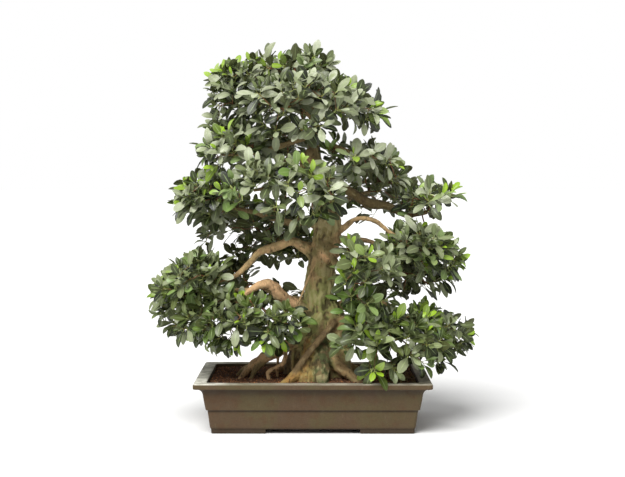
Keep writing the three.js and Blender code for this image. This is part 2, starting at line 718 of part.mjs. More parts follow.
// A leafy shoot along a stem: pairs of leaf places at its tip, and twigs lower down with pairs of their own
function growShoot(curve, random) {
  const shoot = new Shoot();
  const length = curve.getLength();
  const at = (back) => Math.max(0, 1 - back / length);
  const ringAt = (back) => shoot.ring(
    curve.getPointAt(at(back)),
    curve.getTangentAt(at(back)),
    STEM_RADIUS + (TIP_RADIUS - STEM_RADIUS) * at(back),
    3,
  );
  const places = [];
  const guards = [];
  const twigStops = [...TWIG_PLACES].reverse().flatMap((place) => [place, place - NODE_LENGTH]);
  const stops = [length, ...twigStops, 2 * NODE_LENGTH, NODE_LENGTH, 0];
  const rings = stops.map((back) => ringAt(back));
  shoot.close([...rings[0]].reverse());
  shoot.close(rings[rings.length - 1]);
  for (let stop = 0; stop + 1 < stops.length; stop += 1) {
    const sides = shoot.sides(rings[stop], rings[stop + 1]);
    const axis = curve.getTangentAt(at(stops[stop + 1]));
    const open = OPEN_SIDES[stop] ?? [];
    sides.filter((side, index) => !open.includes(index)).forEach((side) => shoot.close(side));
    if (open.length === 1) {
      const twig = growTwig(shoot, sides[open[0]], axis, random);
      places.push(...twig.places);
      guards.push(twig.guard);
    } else {
      const tilt = open.length === 2 ? STEM_PAIR_TILT : STEM_TIP_TILT;
      open.forEach((index) => places.push({ side: sides[index], axis, tilt }));
    }
  }
  const outer = [...guards, stemGuard(curve, OUTER_STEM)];
  guards.push(stemGuard(curve, WHOLE_STEM));
  return { shoot, places, guards, outer };
}

// Side twig on an open side of a shoot, with a pair of leaf places and one at its end
function growTwig(shoot, side, direction, random) {
  const from = shoot.middle(side);
  const out = shoot.normal(side);
  const heading = out.clone().addScaledVector(direction, between(random, 0.5, 0.9))
    .addScaledVector(UP, between(random, 0, 0.35)).normalize();
  const long = TWIG_LENGTH * between(random, 0.85, 1.2);
  const pointAt = (distance) => from.clone().addScaledVector(heading, distance);
  const ringAt = (distance) => shoot.ring(pointAt(distance), heading, TIP_RADIUS, 4);
  const low = ringAt(long);
  const high = ringAt(long + NODE_LENGTH);
  shoot.sides(side, shoot.aligned(low, side)).forEach((wall) => shoot.close(wall));
  const sides = shoot.sides(low, high);
  const pair = random() < 0.5 ? [0, 2] : [1, 3];
  sides.filter((wall, index) => !pair.includes(index)).forEach((wall) => shoot.close(wall));
  const places = pair.map((index) => ({ side: sides[index], axis: heading, tilt: TWIG_PAIR_TILT }));
  places.push({ side: high, axis: heading, tilt: TWIG_TIP_TILT });
  const line = [[...from.toArray(), TIP_RADIUS], [...pointAt(long + NODE_LENGTH).toArray(), TIP_RADIUS]];
  return { places, guard: limbSolid(line, 4, 1, STEM_CLEARANCE) };
}

// Leaf at a place, in a new trial of its length, tilt and turn
function trialLeaf(shoot, place, random, attempt) {
  const out = shoot.normal(place.side);
  const length = LEAF_LENGTH * between(random, 1 - LEAF_LENGTH_SPREAD, 1 + LEAF_LENGTH_SPREAD);
  const tilt = place.tilt * between(random, 0.75, 1.25);
  const direction = place.axis.clone().multiplyScalar(Math.cos(tilt));
  const loose = LEAF_LOOSENESS + LEAF_LOOSENING * attempt;
  if (place.tilt > TWIG_TIP_TILT) {
    direction.addScaledVector(out, Math.sin(tilt));
  }
  direction.add(new THREE.Vector3(
    between(random, -loose, loose), between(random, -loose, loose), between(random, -loose, loose * 0.6),
  )).normalize();
  const facing = UP.clone().addScaledVector(place.axis, 0.5);
  facing.add(new THREE.Vector3(between(random, -0.35, 0.35), between(random, -0.35, 0.35), 0));
  const width = length * LEAF_WIDTH_RATIO * between(random, 0.92, 1.1);
  return { base: shoot.middle(place.side), direction, facing, length, width };
}

// Leaves at all places of a shoot: each is tried in a few turns until it is clear, or else left out
function growLeaves(spray, obstacles, random) {
  const others = obstacles.filter((other) => other.owner !== spray.name);
  const rivals = [...spray.guards];
  spray.places.forEach((place, index) => {
    const openSides = spray.places.slice(index + 1).map((later) => later.side);
    for (let attempt = 0; attempt < LEAF_TRIALS; attempt += 1) {
      const leaf = trialLeaf(spray.shoot, place, random, attempt);
      const guard = obstacle(leafGuard(leaf, GAP), spray.name);
      const clear = isClear(guard, others) && isClear(guard, rivals);
      if (clear && spray.shoot.growLeaf(place.side, leaf, openSides)) {
        rivals.push(guard);
        obstacles.push(guard);
        return;
      }
    }
    spray.shoot.close(place.side);
  });
}

// Shoot of one spray, tried with looser and looser ends until it passes clear of all others
function clearShoot(pad, index, turn, name, obstacles, random) {
  const rivals = obstacles.filter((other) => other.owner !== "wood");
  for (let attempt = 0; attempt < SHOOT_TRIALS; attempt += 1) {
    const end = sprayEnd(pad, index, turn, SHOOT_LOOSENING * attempt, random);
    const grown = growShoot(sprayStem(sprayStart(pad, index), end, random), random);
    const whole = grown.guards.map((guard) => obstacle(guard, name));
    const outer = grown.outer.map((guard) => obstacle(guard, name));
    const clearOfSprays = whole.every((guard) => isClear(guard, rivals));
    if (clearOfSprays && outer.every((guard) => isClear(guard, obstacles))) {
      return { name, shoot: grown.shoot, places: grown.places, guards: whole };
    }
  }
  return null;
}

// All sprays: first every stem and twig, so that no leaf takes another spray's way, then the leaves
function growSprays(woodGuards, ground) {
  const random = seeded(20425);
  const obstacles = [...woodGuards.map((solid) => obstacle(solid, "wood")), ...ground];
  const sprays = [];
  for (const pad of PADS) {
    const turn = between(random, 0, 2 * Math.PI);
    for (let index = 0; index < pad.sprays; index += 1) {
      const spray = clearShoot(pad, index, turn, `spray_${pad.name}_${index + 1}`, obstacles, random);
      if (spray !== null) {
        obstacles.push(...spray.guards);
        sprays.push(spray);
      }
    }
  }
  sprays.forEach((spray) => growLeaves(spray, obstacles, random));
  return sprays;
}

function material(colour, roughness) {
  return new THREE.MeshStandardMaterial({ color: colour, roughness, metalness: 0 });
}

function addPiece(group, name, solid, finish) {
  const piece = new THREE.Mesh(geometryOf(solid), finish);
  piece.name = name;
  group.add(piece);
}

// Assembly
const tree = new THREE.Group();
const pot = makePot();
const nets = drainCentres().map((x) => makeNet(x));
const wood = joined(woodPieces(0));
const woodGuards = woodPieces(GAP);
const woodGuard = joined(woodGuards);
const bed = soilBed();
const holes = [woodGuard, ...drainCentres().map((x) => netGuard(x))];
const soil = largestBody(holes.reduce((whole, hole) => whole.subtract(hole), bed));

addPiece(tree, "pot", pot, material(CLAY, 0.75));
addPiece(tree, "soil", soil, material(EARTH, 1));
nets.forEach((net, index) => addPiece(tree, `drain_net_${index + 1}`, net, material(NET_BLACK, 0.6)));
addPiece(tree, "tree_wood", wood, material(BARK, 0.85));

const ground = [obstacle(pot, "pot"), obstacle(bed, "soil")];
growSprays(woodGuards, ground).forEach((spray, index) => {
  const solid = largestBody(spray.shoot.solid().subtract(woodGuard));
  addPiece(tree, spray.name, solid, material(LEAF_GREENS[index % LEAF_GREENS.length], 0.5));
});

// The origin is under the middle of the whole, on the surface that the feet stand on
const reach = new THREE.Box3().setFromObject(tree);
const middle = reach.getCenter(new THREE.Vector3());
tree.position.set(-middle.x, -middle.y, -reach.min.z);
tree.updateMatrixWorld(true);

export default tree;
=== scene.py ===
# %% [markdown]
# # A ficus bonsai in its rectangular pot
#
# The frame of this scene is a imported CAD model: the pot, the soil, the tree's wood and the leafy sprays
# are plain solids in their true places and sizes. This lesson dresses them. Each plain solid that needs a
# finer form is replaced by a piece that fills the same space, and each piece gets its own finish.

import json
import math
import random

import bmesh
import bpy
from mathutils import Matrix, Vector, noise
from mathutils.kdtree import KDTree

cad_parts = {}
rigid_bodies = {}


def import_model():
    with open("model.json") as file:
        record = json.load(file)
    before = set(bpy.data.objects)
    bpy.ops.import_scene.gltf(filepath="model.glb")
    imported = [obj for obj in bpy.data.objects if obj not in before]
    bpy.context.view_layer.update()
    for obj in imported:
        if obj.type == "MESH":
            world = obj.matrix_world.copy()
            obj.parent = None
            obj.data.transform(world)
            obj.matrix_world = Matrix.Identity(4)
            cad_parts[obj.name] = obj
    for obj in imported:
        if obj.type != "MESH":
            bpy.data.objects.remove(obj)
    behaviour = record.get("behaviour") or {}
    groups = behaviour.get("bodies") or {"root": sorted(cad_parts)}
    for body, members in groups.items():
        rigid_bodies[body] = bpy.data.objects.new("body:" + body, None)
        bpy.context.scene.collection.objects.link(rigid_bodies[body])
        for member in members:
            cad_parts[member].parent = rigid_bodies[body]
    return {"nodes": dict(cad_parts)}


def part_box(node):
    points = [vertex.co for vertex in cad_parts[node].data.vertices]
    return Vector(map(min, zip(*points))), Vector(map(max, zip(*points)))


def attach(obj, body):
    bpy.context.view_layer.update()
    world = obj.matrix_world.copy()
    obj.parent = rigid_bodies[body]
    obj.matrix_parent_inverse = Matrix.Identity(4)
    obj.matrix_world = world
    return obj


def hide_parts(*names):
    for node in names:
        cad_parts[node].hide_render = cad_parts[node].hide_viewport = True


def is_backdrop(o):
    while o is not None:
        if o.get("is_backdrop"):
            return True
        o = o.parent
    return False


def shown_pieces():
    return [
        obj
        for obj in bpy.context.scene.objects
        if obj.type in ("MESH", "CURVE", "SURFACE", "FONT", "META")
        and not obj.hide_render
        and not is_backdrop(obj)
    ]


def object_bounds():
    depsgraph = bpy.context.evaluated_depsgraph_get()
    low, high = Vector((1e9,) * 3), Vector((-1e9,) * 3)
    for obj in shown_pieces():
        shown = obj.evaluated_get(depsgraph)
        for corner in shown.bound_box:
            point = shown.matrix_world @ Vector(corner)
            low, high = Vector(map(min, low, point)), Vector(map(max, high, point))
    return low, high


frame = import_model()
cad_box = [list(corner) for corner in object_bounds()]
print("CAD box in metres:", cad_box)

# %% [markdown]
# ## Where things are
#
# The tree is easiest to think of in millimetres from the middle of the pot, with the soil at about 135 mm
# and the apex near 1,090 mm. Blender works in metres in the CAD model's own frame, so two short functions
# lead from one to the other. They read the pot's box, so nothing is fitted by hand.

# %% Places
pot_low, pot_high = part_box("pot")
MM = 0.001


def place(x, y, z):
    """A point in millimetres from the middle of the pot's underside, as a place in the frame"""
    return Vector((
        (pot_low.x + pot_high.x) / 2 + x * MM,
        (pot_low.y + pot_high.y) / 2 + y * MM,
        pot_low.z + z * MM,
    ))


ORIGIN = place(0, 0, 0)


def in_millimetres(spot):
    """A place in the frame, as a point in millimetres from the middle of the pot's underside"""
    return (spot - ORIGIN) / MM


print("Middle of the pot's underside:", tuple(round(value, 4) for value in ORIGIN))

# %% [markdown]
# ## The camera
#
# A picture of a whole tree is taken from some way off, so that its front and its back keep about the same
# scale. The camera stands 4.2 m in front of the pot with a long lens, at about two thirds of the tree's
# height, and looks slightly down on the rim. It comes first because everything is judged through it.

# %% Camera
CAMERA_PLACE = (14.5, -4185, 730)
CAMERA_PITCH = 2.80
CAMERA_YAW = 0.222
SENSOR_WIDTH = 36
FOCAL_LENGTH_PX = 1474
IMAGE_WIDTH = 625

camera_data = bpy.data.cameras.new("camera")
camera_data.sensor_width = SENSOR_WIDTH
camera_data.lens = FOCAL_LENGTH_PX / IMAGE_WIDTH * SENSOR_WIDTH
camera = bpy.data.objects.new("camera", camera_data)
camera.location = place(*CAMERA_PLACE)
camera.rotation_euler = (math.radians(90 - CAMERA_PITCH), 0, math.radians(CAMERA_YAW))
bpy.context.scene.collection.objects.link(camera)
bpy.context.scene.camera = camera
print("Lens in millimetres:", round(camera_data.lens, 1))

# %% [markdown]
# ## Writing materials as lines of code
#
# A material is a small tree of nodes. The helpers below add one node to a line and feed it, so that each
# finish later on reads like a recipe: where the pattern lies, how large it is, and what it colours.

# %% Node helpers
GRAIN_RANGE = (0.3, 0.7)


def feed(tree, source, socket):
    """Join a socket to another node's output, or set it to a plain value"""
    if isinstance(source, bpy.types.NodeSocket):
        tree.links.new(source, socket)
    else:
        socket.default_value = source


def add(tree, kind, inputs=None, output=0, **settings):
    """Add a node, set it up, feed its inputs and hand back one of its outputs"""
    node = tree.nodes.new(kind)
    for name, value in settings.items():
        setattr(node, name, value)
    for name, source in (inputs or {}).items():
        feed(tree, source, node.inputs[name])
    return node.outputs[output]


def colour(red, green, blue):
    """A screen colour, 0 to 255 a channel, as the linear colour that a shader takes"""
    shares = [value / 255 for value in (red, green, blue)]
    return (*[s / 12.92 if s <= 0.04045 else ((s + 0.055) / 1.055) ** 2.4 for s in shares], 1)


def maths(tree, operation, first, second=0.0, third=0.0):
    """One sum on up to three numbers"""
    return add(tree, "ShaderNodeMath", {0: first, 1: second, 2: third}, operation=operation)


def fade(tree, value, low, high):
    """A soft step: 0 where the value is low, 1 where it is high"""
    inputs = {"Value": value, "From Min": low, "From Max": high}
    return add(tree, "ShaderNodeMapRange", inputs, interpolation_type="SMOOTHSTEP")


def grain(tree, where, scale, detail=4.0, roughness=0.55):
    """Cloudy noise, nearly all of it within the grain range, with its size in waves to the metre"""
    inputs = {"Vector": where, "Scale": scale, "Detail": detail, "Roughness": roughness}
    return add(tree, "ShaderNodeTexNoise", inputs)


def tinted(tree, share, first, second, blend="MIX"):
    """One colour laid over another by a share"""
    inputs = {0: share, 6: first, 7: second}
    return add(tree, "ShaderNodeMix", inputs, output=2, data_type="RGBA", blend_type=blend)


def stained(tree, body, stain, mask, low, high, strength=1.0):
    """A colour with a stain on it where a mask passes from low to high, at most as strong as given"""
    share = fade(tree, mask, low, high)
    if strength < 1:
        share = maths(tree, "MULTIPLY", share, strength)
    return tinted(tree, share, body, stain)


def between(tree, value, low, high, from_low=0.0, from_high=1.0):
    """A value carried over from one range to another"""
    inputs = {"Value": value, "From Min": from_low, "From Max": from_high, "To Min": low, "To Max": high}
    return add(tree, "ShaderNodeMapRange", inputs)


def attribute(tree, label, output=2):
    """An attribute of the painted mesh by its name: 1 is its vector, 2 its number and 3 its alpha"""
    return add(tree, "ShaderNodeAttribute", output=output, attribute_name=label)


def stretched(tree, where, scale):
    """Coordinates stretched by three factors, so that a pattern runs along one direction"""
    return add(tree, "ShaderNodeMapping", {"Vector": where, "Scale": scale})


def new_material(name):
    """An empty procedural material: the material, its tree, its shader and its object coordinates"""
    made = bpy.data.materials.new(name)
    made.use_nodes = True
    tree = made.node_tree
    return made, tree, tree.nodes["Principled BSDF"], add(tree, "ShaderNodeTexCoord", output=3)


def relief(tree, shader, heights):
    """Bump from several (height, distance in metres) pairs, each laid on the one before"""
    normal = None
    for height, distance in heights:
        inputs = {"Height": height, "Distance": distance, "Strength": 1.0}
        if normal is not None:
            inputs["Normal"] = normal
        normal = add(tree, "ShaderNodeBump", inputs)
    feed(tree, normal, shader.inputs["Normal"])


def paint(piece, finish):
    """Give a piece one material in place of any that it has"""
    piece.data.materials.clear()
    piece.data.materials.append(finish)


print("Node helpers ready")

# %% [markdown]
# ## Light and floor
#
# Leaves look right in soft light from everywhere, as outdoors under a bright sky. A white world gives that,
# and a very soft sun from the upper left in front adds a direction, so that the pads are lighter on top than
# underneath. The backdrop itself is pure white, while the light that it sheds is held back a little, or it
# would fill every shadow. The floor is a plain pale sheet.

# %% Light and floor
SKY_LIGHT = 0.42
SKY_BACKDROP = 1.0
SUN_FROM = (-1000, -2150, 2900)
SUN_SOFTNESS = 40
SUN_STRENGTH = 3.9
FLOOR_HALF = 40
FLOOR_PALE = colour(252, 252, 251)
FLOOR_DULL = colour(248, 248, 247)
SQUARE = [(-1, -1), (1, -1), (1, 1), (-1, 1)]

bpy.context.scene.view_settings.view_transform = "Standard"
world = bpy.data.worlds.new("sky")
world.use_nodes = True
sky = world.node_tree
backdrop_share = add(sky, "ShaderNodeLightPath", output=0)
feed(sky, (1, 1, 1, 1), sky.nodes["Background"].inputs["Color"])
feed(sky, between(sky, backdrop_share, SKY_LIGHT, SKY_BACKDROP), sky.nodes["Background"].inputs["Strength"])
bpy.context.scene.world = world

sun_data = bpy.data.lights.new("sun", "SUN")
sun_data.angle = math.radians(SUN_SOFTNESS)
sun_data.energy = SUN_STRENGTH
sun = bpy.data.objects.new("sun", sun_data)
sun.location = place(*SUN_FROM)
sun.rotation_euler = (ORIGIN - sun.location).to_track_quat("-Z", "Y").to_euler()
bpy.context.scene.collection.objects.link(sun)

floor_mesh = bpy.data.meshes.new("floor")
floor_corners = [(x * FLOOR_HALF, y * FLOOR_HALF, pot_low.z) for x, y in SQUARE]
floor_mesh.from_pydata(floor_corners, [], [(0, 1, 2, 3)])
floor = bpy.data.objects.new("floor", floor_mesh)
bpy.context.scene.collection.objects.link(floor)
floor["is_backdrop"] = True

floor_finish, floor_tree, floor_shader, floor_where = new_material("pale_floor")
floor_cloud = grain(floor_tree, floor_where, 1.5)
feed(floor_tree, tinted(floor_tree, floor_cloud, FLOOR_PALE, FLOOR_DULL), floor_shader.inputs["Base Color"])
floor_shader.inputs["Roughness"].default_value = 0.8
paint(floor, floor_finish)
print("Floor painted, at height", round(pot_low.z, 4))

# %% [markdown]
# ## The pot's body
#
# The pot is pressed and carved from unglazed clay: a shallow tray with a flat rim, a hollow cove under it,
# and a wall in two steps. It could be modelled from a box with bevels, but every one of its forms runs all
# the way round, so it is made as one profile carried round a rounded rectangle, ring by ring. Each edge
# gets two or three rings close together, which rounds it as a damp sponge does.

# %% Pot body
RIM_LENGTH = 650
RIM_DEPTH = 468
FLOOR_UNDER = 12
FLOOR_TOP = 26
OUTER_CORNER = 9
INNER_CORNER = 14
CORNER_POINTS = 7
LONG_SIDE_POINTS = 46
SHORT_SIDE_POINTS = 32

# Inset from the rim's face and height of each ring, from the underside, up the wall and over the rim
LOWER_WALL = [(49, 12), (46.2, 12.7), (44.3, 14.4), (43.2, 17.5), (40.2, 41), (37.5, 61.5), (37.1, 64)]
WALL_STEP = [(36.6, 65.3), (34.2, 65.8), (32.5, 66.6), (32, 68.4)]
UPPER_WALL = [(28.4, 88), (25.4, 107), (24.8, 111)]
RIM_COVE = [(23.2, 115.6), (20.6, 120), (16.4, 123.6), (10.8, 125.9), (5, 126.8), (2.6, 127.2)]
RIM_FACE = [(0.9, 127.9), (0.1, 129.6), (0, 132), (0, 137.8), (0.4, 139.8), (1.5, 141.3), (3.3, 142)]
RIM_TOP = [(12, 141.7), (22, 141.6), (31.5, 142), (33.6, 141.6), (34.7, 140.4), (35, 138.4)]
INSIDE = [(35, 127), (38, 110), (47, 68), (56, 30), (58, 27), (63, 26)]


def potted_ring(inset, height, corner):
    """Points round the pot's outline, drawn in from the rim's face by an inset"""
    half_length = RIM_LENGTH / 2 - inset
    half_depth = RIM_DEPTH / 2 - inset
    corners = []
    for quarter, (sign_x, sign_y) in enumerate([(1, 1), (-1, 1), (-1, -1), (1, -1)]):
        bend = []
        for step in range(CORNER_POINTS):
            angle = math.pi / 2 * (quarter + step / (CORNER_POINTS - 1))
            x = sign_x * (half_length - corner) + corner * math.cos(angle)
            y = sign_y * (half_depth - corner) + corner * math.sin(angle)
            bend.append(Vector((x, y, height)))
        corners.append(bend)
    ring = []
    for quarter, bend in enumerate(corners):
        ring += bend
        count = LONG_SIDE_POINTS if quarter % 2 == 0 else SHORT_SIDE_POINTS
        following = corners[(quarter + 1) % 4][0]
        ring += [bend[-1].lerp(following, (step + 1) / (count + 1)) for step in range(count)]
    return ring


def skin(rings):
    """A closed mesh over a stack of rings of equal count: the points, and faces that point outwards"""
    count = len(rings[0])
    points = [point for ring in rings for point in ring]
    faces = [tuple(range(count - 1, -1, -1))]
    for row in range(len(rings) - 1):
        low, high = row * count, (row + 1) * count
        for step in range(count):
            after = (step + 1) % count
            faces.append((low + step, low + after, high + after, high + step))
    faces.append(tuple(range((len(rings) - 1) * count, len(rings) * count)))
    return points, faces


def new_object(name, points, faces=(), edges=()):
    """A mesh object in the scene, from points in millimetres from the middle of the pot's underside"""
    mesh = bpy.data.meshes.new(name)
    mesh.from_pydata([place(*point) for point in points], edges, faces)
    made = bpy.data.objects.new(name, mesh)
    bpy.context.scene.collection.objects.link(made)
    return made


outer_profile = LOWER_WALL + WALL_STEP + UPPER_WALL + RIM_COVE + RIM_FACE + RIM_TOP[:2]
rings = [potted_ring(inset, height, OUTER_CORNER) for inset, height in outer_profile]
rings += [potted_ring(inset, height, INNER_CORNER) for inset, height in RIM_TOP[2:] + INSIDE]
pot = new_object("pot_clay", *skin(rings))
print("Pot body:", len(rings), "rings of", len(rings[0]), "points")

# %% [markdown]
# ## The pot's feet and holes
#
# Four low feet shaped like an L stand under the corners. Their ends are cut at a slant. They are drawn flat,
# pulled up into solids and rounded, and a boolean joins them to the body as clay is joined to clay. Two
# cylinders are then taken out of the floor, where the water drains away.

# %% Feet and holes
FOOT_LENGTH = 150
FOOT_DEPTH = 120
FOOT_WIDTH = 38
FOOT_SLANT = 12
FOOT_INSET = 47
FOOT_ROUNDING = 2.2
FOOT_SUNK = 3
DRAIN_RADIUS = 17
DRAIN_SPACING = 250
DRAIN_SIDES = 32
CUT_PAST = 5
HAND_WAVE = 0.45
HAND_WAVE_SIZE = 0.07


def potted_foot(sign_x, sign_y):
    """One L-shaped foot with slanted ends, under the corner that the signs choose"""
    flat = [
        (0, 0), (FOOT_LENGTH, 0), (FOOT_LENGTH - FOOT_SLANT, FOOT_WIDTH), (FOOT_WIDTH, FOOT_WIDTH),
        (FOOT_WIDTH, FOOT_DEPTH - FOOT_SLANT), (0, FOOT_DEPTH),
    ]
    corner_x = sign_x * (RIM_LENGTH / 2 - FOOT_INSET)
    corner_y = sign_y * (RIM_DEPTH / 2 - FOOT_INSET)
    outline = [(corner_x - sign_x * x, corner_y - sign_y * y) for x, y in flat]
    if sign_x * sign_y < 0:
        outline.reverse()
    rings = [[(x, y, height) for x, y in outline] for height in (0, FLOOR_UNDER + FOOT_SUNK)]
    foot = new_object("foot", *skin(rings))
    shape = bmesh.new()
    shape.from_mesh(foot.data)
    bmesh.ops.bevel(shape, geom=shape.edges[:], offset=FOOT_ROUNDING * MM, segments=2, affect="EDGES")
    bmesh.ops.recalc_face_normals(shape, faces=shape.faces[:])
    shape.to_mesh(foot.data)
    shape.free()
    return foot


def round_bar(radius, x, low, high):
    """An upright cylinder, to cut a hole with"""
    turns = [2 * math.pi * side / DRAIN_SIDES for side in range(DRAIN_SIDES)]
    rings = [[(x + radius * math.cos(a), radius * math.sin(a), z) for a in turns] for z in (low, high)]
    return new_object("bar", *skin(rings))


def settle(piece):
    """Turn what a piece's modifiers show into its own plain mesh"""
    seen = piece.evaluated_get(bpy.context.evaluated_depsgraph_get())
    mesh = bpy.data.meshes.new_from_object(seen)
    piece.modifiers.clear()
    piece.data = mesh
    mesh.name = piece.name


def carve(piece, tool, operation):
    """Join a tool's solid to a piece, or cut it out, and throw the tool away"""
    cut = piece.modifiers.new("carve", "BOOLEAN")
    cut.operation = operation
    cut.solver = "EXACT"
    cut.object = tool
    settle(piece)
    bpy.data.objects.remove(tool)


for signs in SQUARE:
    carve(pot, potted_foot(*signs), "UNION")
for middle in (-DRAIN_SPACING / 2, DRAIN_SPACING / 2):
    carve(pot, round_bar(DRAIN_RADIUS, middle, -CUT_PAST, FLOOR_TOP + CUT_PAST), "DIFFERENCE")

# A pot shaped by hand has no quite flat wall
for point in pot.data.vertices:
    point.co += point.normal * noise.noise(point.co / HAND_WAVE_SIZE) * HAND_WAVE * MM
print("Pot:", len(pot.data.polygons), "faces")

# %% [markdown]
# ## The clay's finish
#
# Old unglazed clay is never one brown. Water and lime leave it olive in some places and reddish in others,
# the rim bleaches and wears to a cream white where hands and rain reach it, and moss and dirt settle on the
# ledge. The cove and the band under the step get painted shade, and the wall is darker towards the table.
# Each of these is one mask: noise for the patches, and height for the painted shade and the darker foot.

# %% Clay finish
CLAY_BROWN = colour(80, 62, 42)
CLAY_OLIVE = colour(80, 68, 42)
CLAY_RED = colour(82, 60, 40)
# Dark of the painted shade in the cove and under the step, and of the wall's darker foot
CLAY_SHADE_DARK = colour(40, 30, 19)
CLAY_CREAM = colour(220, 218, 204)
CLAY_WORN = colour(118, 106, 80)
CLAY_MOSS = colour(88, 90, 58)
POT_CRISP_ANGLE = 40
WORN_FROM_X = -0.19
WORN_TO_X = -0.29
# Heights at which a band of painted shade begins, is full, is still full and ends
PAINTED_SHADE_BANDS = [(0.0575, 0.0645, 0.0655, 0.068), (0.104, 0.122, 0.1265, 0.128)]


def paint_clay():
    """Unglazed clay, patchy on its walls and bleached on its rim, with heights in metres from its feet"""
    made, tree, shader, where = new_material("old_clay")
    split = add(tree, "ShaderNodeSeparateXYZ", {0: where}).node
    across, height = split.outputs[0], split.outputs[2]
    broad = grain(tree, where, 9, 5)
    middling = grain(tree, where, 34, 6, 0.6)
    fine = grain(tree, where, 420, 5, 0.7)
    runs = grain(tree, stretched(tree, where, (1, 1, 0.22)), 75, 5, 0.6)

    body = stained(tree, CLAY_BROWN, CLAY_OLIVE, broad, 0.42, 0.6)
    body = stained(tree, body, CLAY_RED, middling, 0.5, 0.66, 0.6)
    body = stained(tree, body, CLAY_WORN, runs, 0.58, 0.8, 0.16)
    speckle = between(tree, fine, 0.78, 1.18, *GRAIN_RANGE)
    speckle = add(tree, "ShaderNodeCombineXYZ", {0: speckle, 1: speckle, 2: speckle})
    body = tinted(tree, 1.0, body, speckle, "MULTIPLY")

    # Darker towards the table, and painted shade in the band under the step in the wall and in the cove
    # under the rim
    low_dark_and_painted_shade = fade(tree, height, 0.022, 0.008)
    for low, high, over, out in PAINTED_SHADE_BANDS:
        band = maths(tree, "MULTIPLY", fade(tree, height, low, high), fade(tree, height, out, over))
        low_dark_and_painted_shade = maths(tree, "MAXIMUM", low_dark_and_painted_shade, band)
    body = tinted(tree, maths(tree, "MULTIPLY", low_dark_and_painted_shade, 0.72), body, CLAY_SHADE_DARK)

    # Only the flat top of the rim and its upper edge are worn, most of all towards the left
    upper_edge = fade(tree, height, 0.1392, 0.1415)
    leftwards = fade(tree, across, WORN_FROM_X, WORN_TO_X)
    patchy = fade(tree, middling, 0.4, 0.56)
    worn_share = between(tree, leftwards, 0.3, 1.0)
    worn = tinted(tree, worn_share, CLAY_WORN, CLAY_CREAM)
    worn = stained(tree, worn, CLAY_MOSS, broad, 0.5, 0.62, 0.4)
    worn = stained(tree, worn, CLAY_BROWN, fine, 0.56, 0.7, 0.6)
    kept = maths(tree, "MULTIPLY", upper_edge, maths(tree, "ADD", maths(tree, "MULTIPLY", patchy, 0.4), 0.6))
    feed(tree, tinted(tree, kept, body, worn), shader.inputs["Base Color"])

    rough = between(tree, middling, 0.62, 0.86, *GRAIN_RANGE)
    feed(tree, rough, shader.inputs["Roughness"])
    shader.inputs["Specular IOR Level"].default_value = 0.35
    relief(tree, shader, [(middling, 0.0012), (fine, 0.0006)])
    return made


def smooth_by_angle(piece, degrees):
    """Shade a piece smoothly, and keep the edges that turn by more than an angle crisp"""
    piece.data.shade_smooth()
    piece.data.set_sharp_from_angle(angle=math.radians(degrees))


paint(pot, paint_clay())
smooth_by_angle(pot, POT_CRISP_ANGLE)
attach(pot, "root")
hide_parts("pot")
print("Clay painted")

# %% [markdown]
# ## The soil bed
#
# Bonsai soil is a bed of small hard grains, level near the rim and heaped a little towards the trunk. The
# bed itself is one closed lump of rings with an uneven top. A smooth lump would look like cake, so the
# grains are added next as real pieces.

# %% Soil bed
SOIL_TOP = 133
SOIL_EDGE = 37.85
SOIL_SIDES = [(56.4, 26.4), (38.4, 110), (SOIL_EDGE, 127)]
SOIL_RINGS = 26
SOIL_CROWDING = 1.15
SOIL_LAST_RING = 12
SOIL_CORNER_LOSS = 0.7
EDGE_DROP = 3.0
EDGE_DROP_RINGS = 1.2
SOIL_LUMPS = 2.4
SOIL_LUMP_SIZE = 42
HEAP_RISE = 8.5
HEAP_REACH = 150
TRUNK_FOOT = (12, -60)


def soil_height(x, y):
    """Height of the soil's top: level at the rim, a low heap round the trunk, and uneven all over"""
    away = math.hypot(x - TRUNK_FOOT[0], y - TRUNK_FOOT[1])
    heap = HEAP_RISE * math.exp(-((away / HEAP_REACH) ** 2))
    lumps = noise.fractal(Vector((x, y, 0)) / SOIL_LUMP_SIZE, 0.9, 2.1, 4) * SOIL_LUMPS
    return SOIL_TOP + heap + lumps


soil_rings = [potted_ring(inset, height, INNER_CORNER) for inset, height in SOIL_SIDES]
for step in range(SOIL_RINGS):
    inwards = (step / (SOIL_RINGS - 1)) ** SOIL_CROWDING
    inset = SOIL_EDGE + (RIM_DEPTH / 2 - SOIL_EDGE - SOIL_LAST_RING) * inwards
    level = potted_ring(inset, 0, INNER_CORNER * (1 - SOIL_CORNER_LOSS * step / SOIL_RINGS))
    drop = EDGE_DROP * math.exp(-step / EDGE_DROP_RINGS)
    soil_rings.append([Vector((x, y, soil_height(x, y) - drop)) for x, y, z in level])
soil = new_object("soil_bed", *skin(soil_rings))
soil.data.shade_smooth()
print("Soil bed:", len(soil.data.polygons), "faces")

# %% [markdown]
# ## Running a node tree
#
# Geometry Nodes are a recipe that Blender runs on a mesh. The helpers here start an empty recipe with named
# inputs, set those inputs by their identifiers, and keep the result as a plain mesh, because instances and
# live modifiers would be lost when the model leaves Blender.

# %% Geometry Nodes helpers
SOCKETS = {
    "float": "NodeSocketFloat", "int": "NodeSocketInt", "collection": "NodeSocketCollection",
    "material": "NodeSocketMaterial",
}


def new_recipe(name, inputs):
    """An empty geometry tree with a geometry input and named inputs: the tree and its input sockets"""
    tree = bpy.data.node_groups.new(name, "GeometryNodeTree")
    tree.interface.new_socket("Geometry", in_out="INPUT", socket_type="NodeSocketGeometry")
    for label, kind in inputs.items():
        tree.interface.new_socket(label, in_out="INPUT", socket_type=SOCKETS[kind])
    tree.interface.new_socket("Geometry", in_out="OUTPUT", socket_type="NodeSocketGeometry")
    entry = tree.nodes.new("NodeGroupInput")
    return tree, {socket.name: socket for socket in entry.outputs}


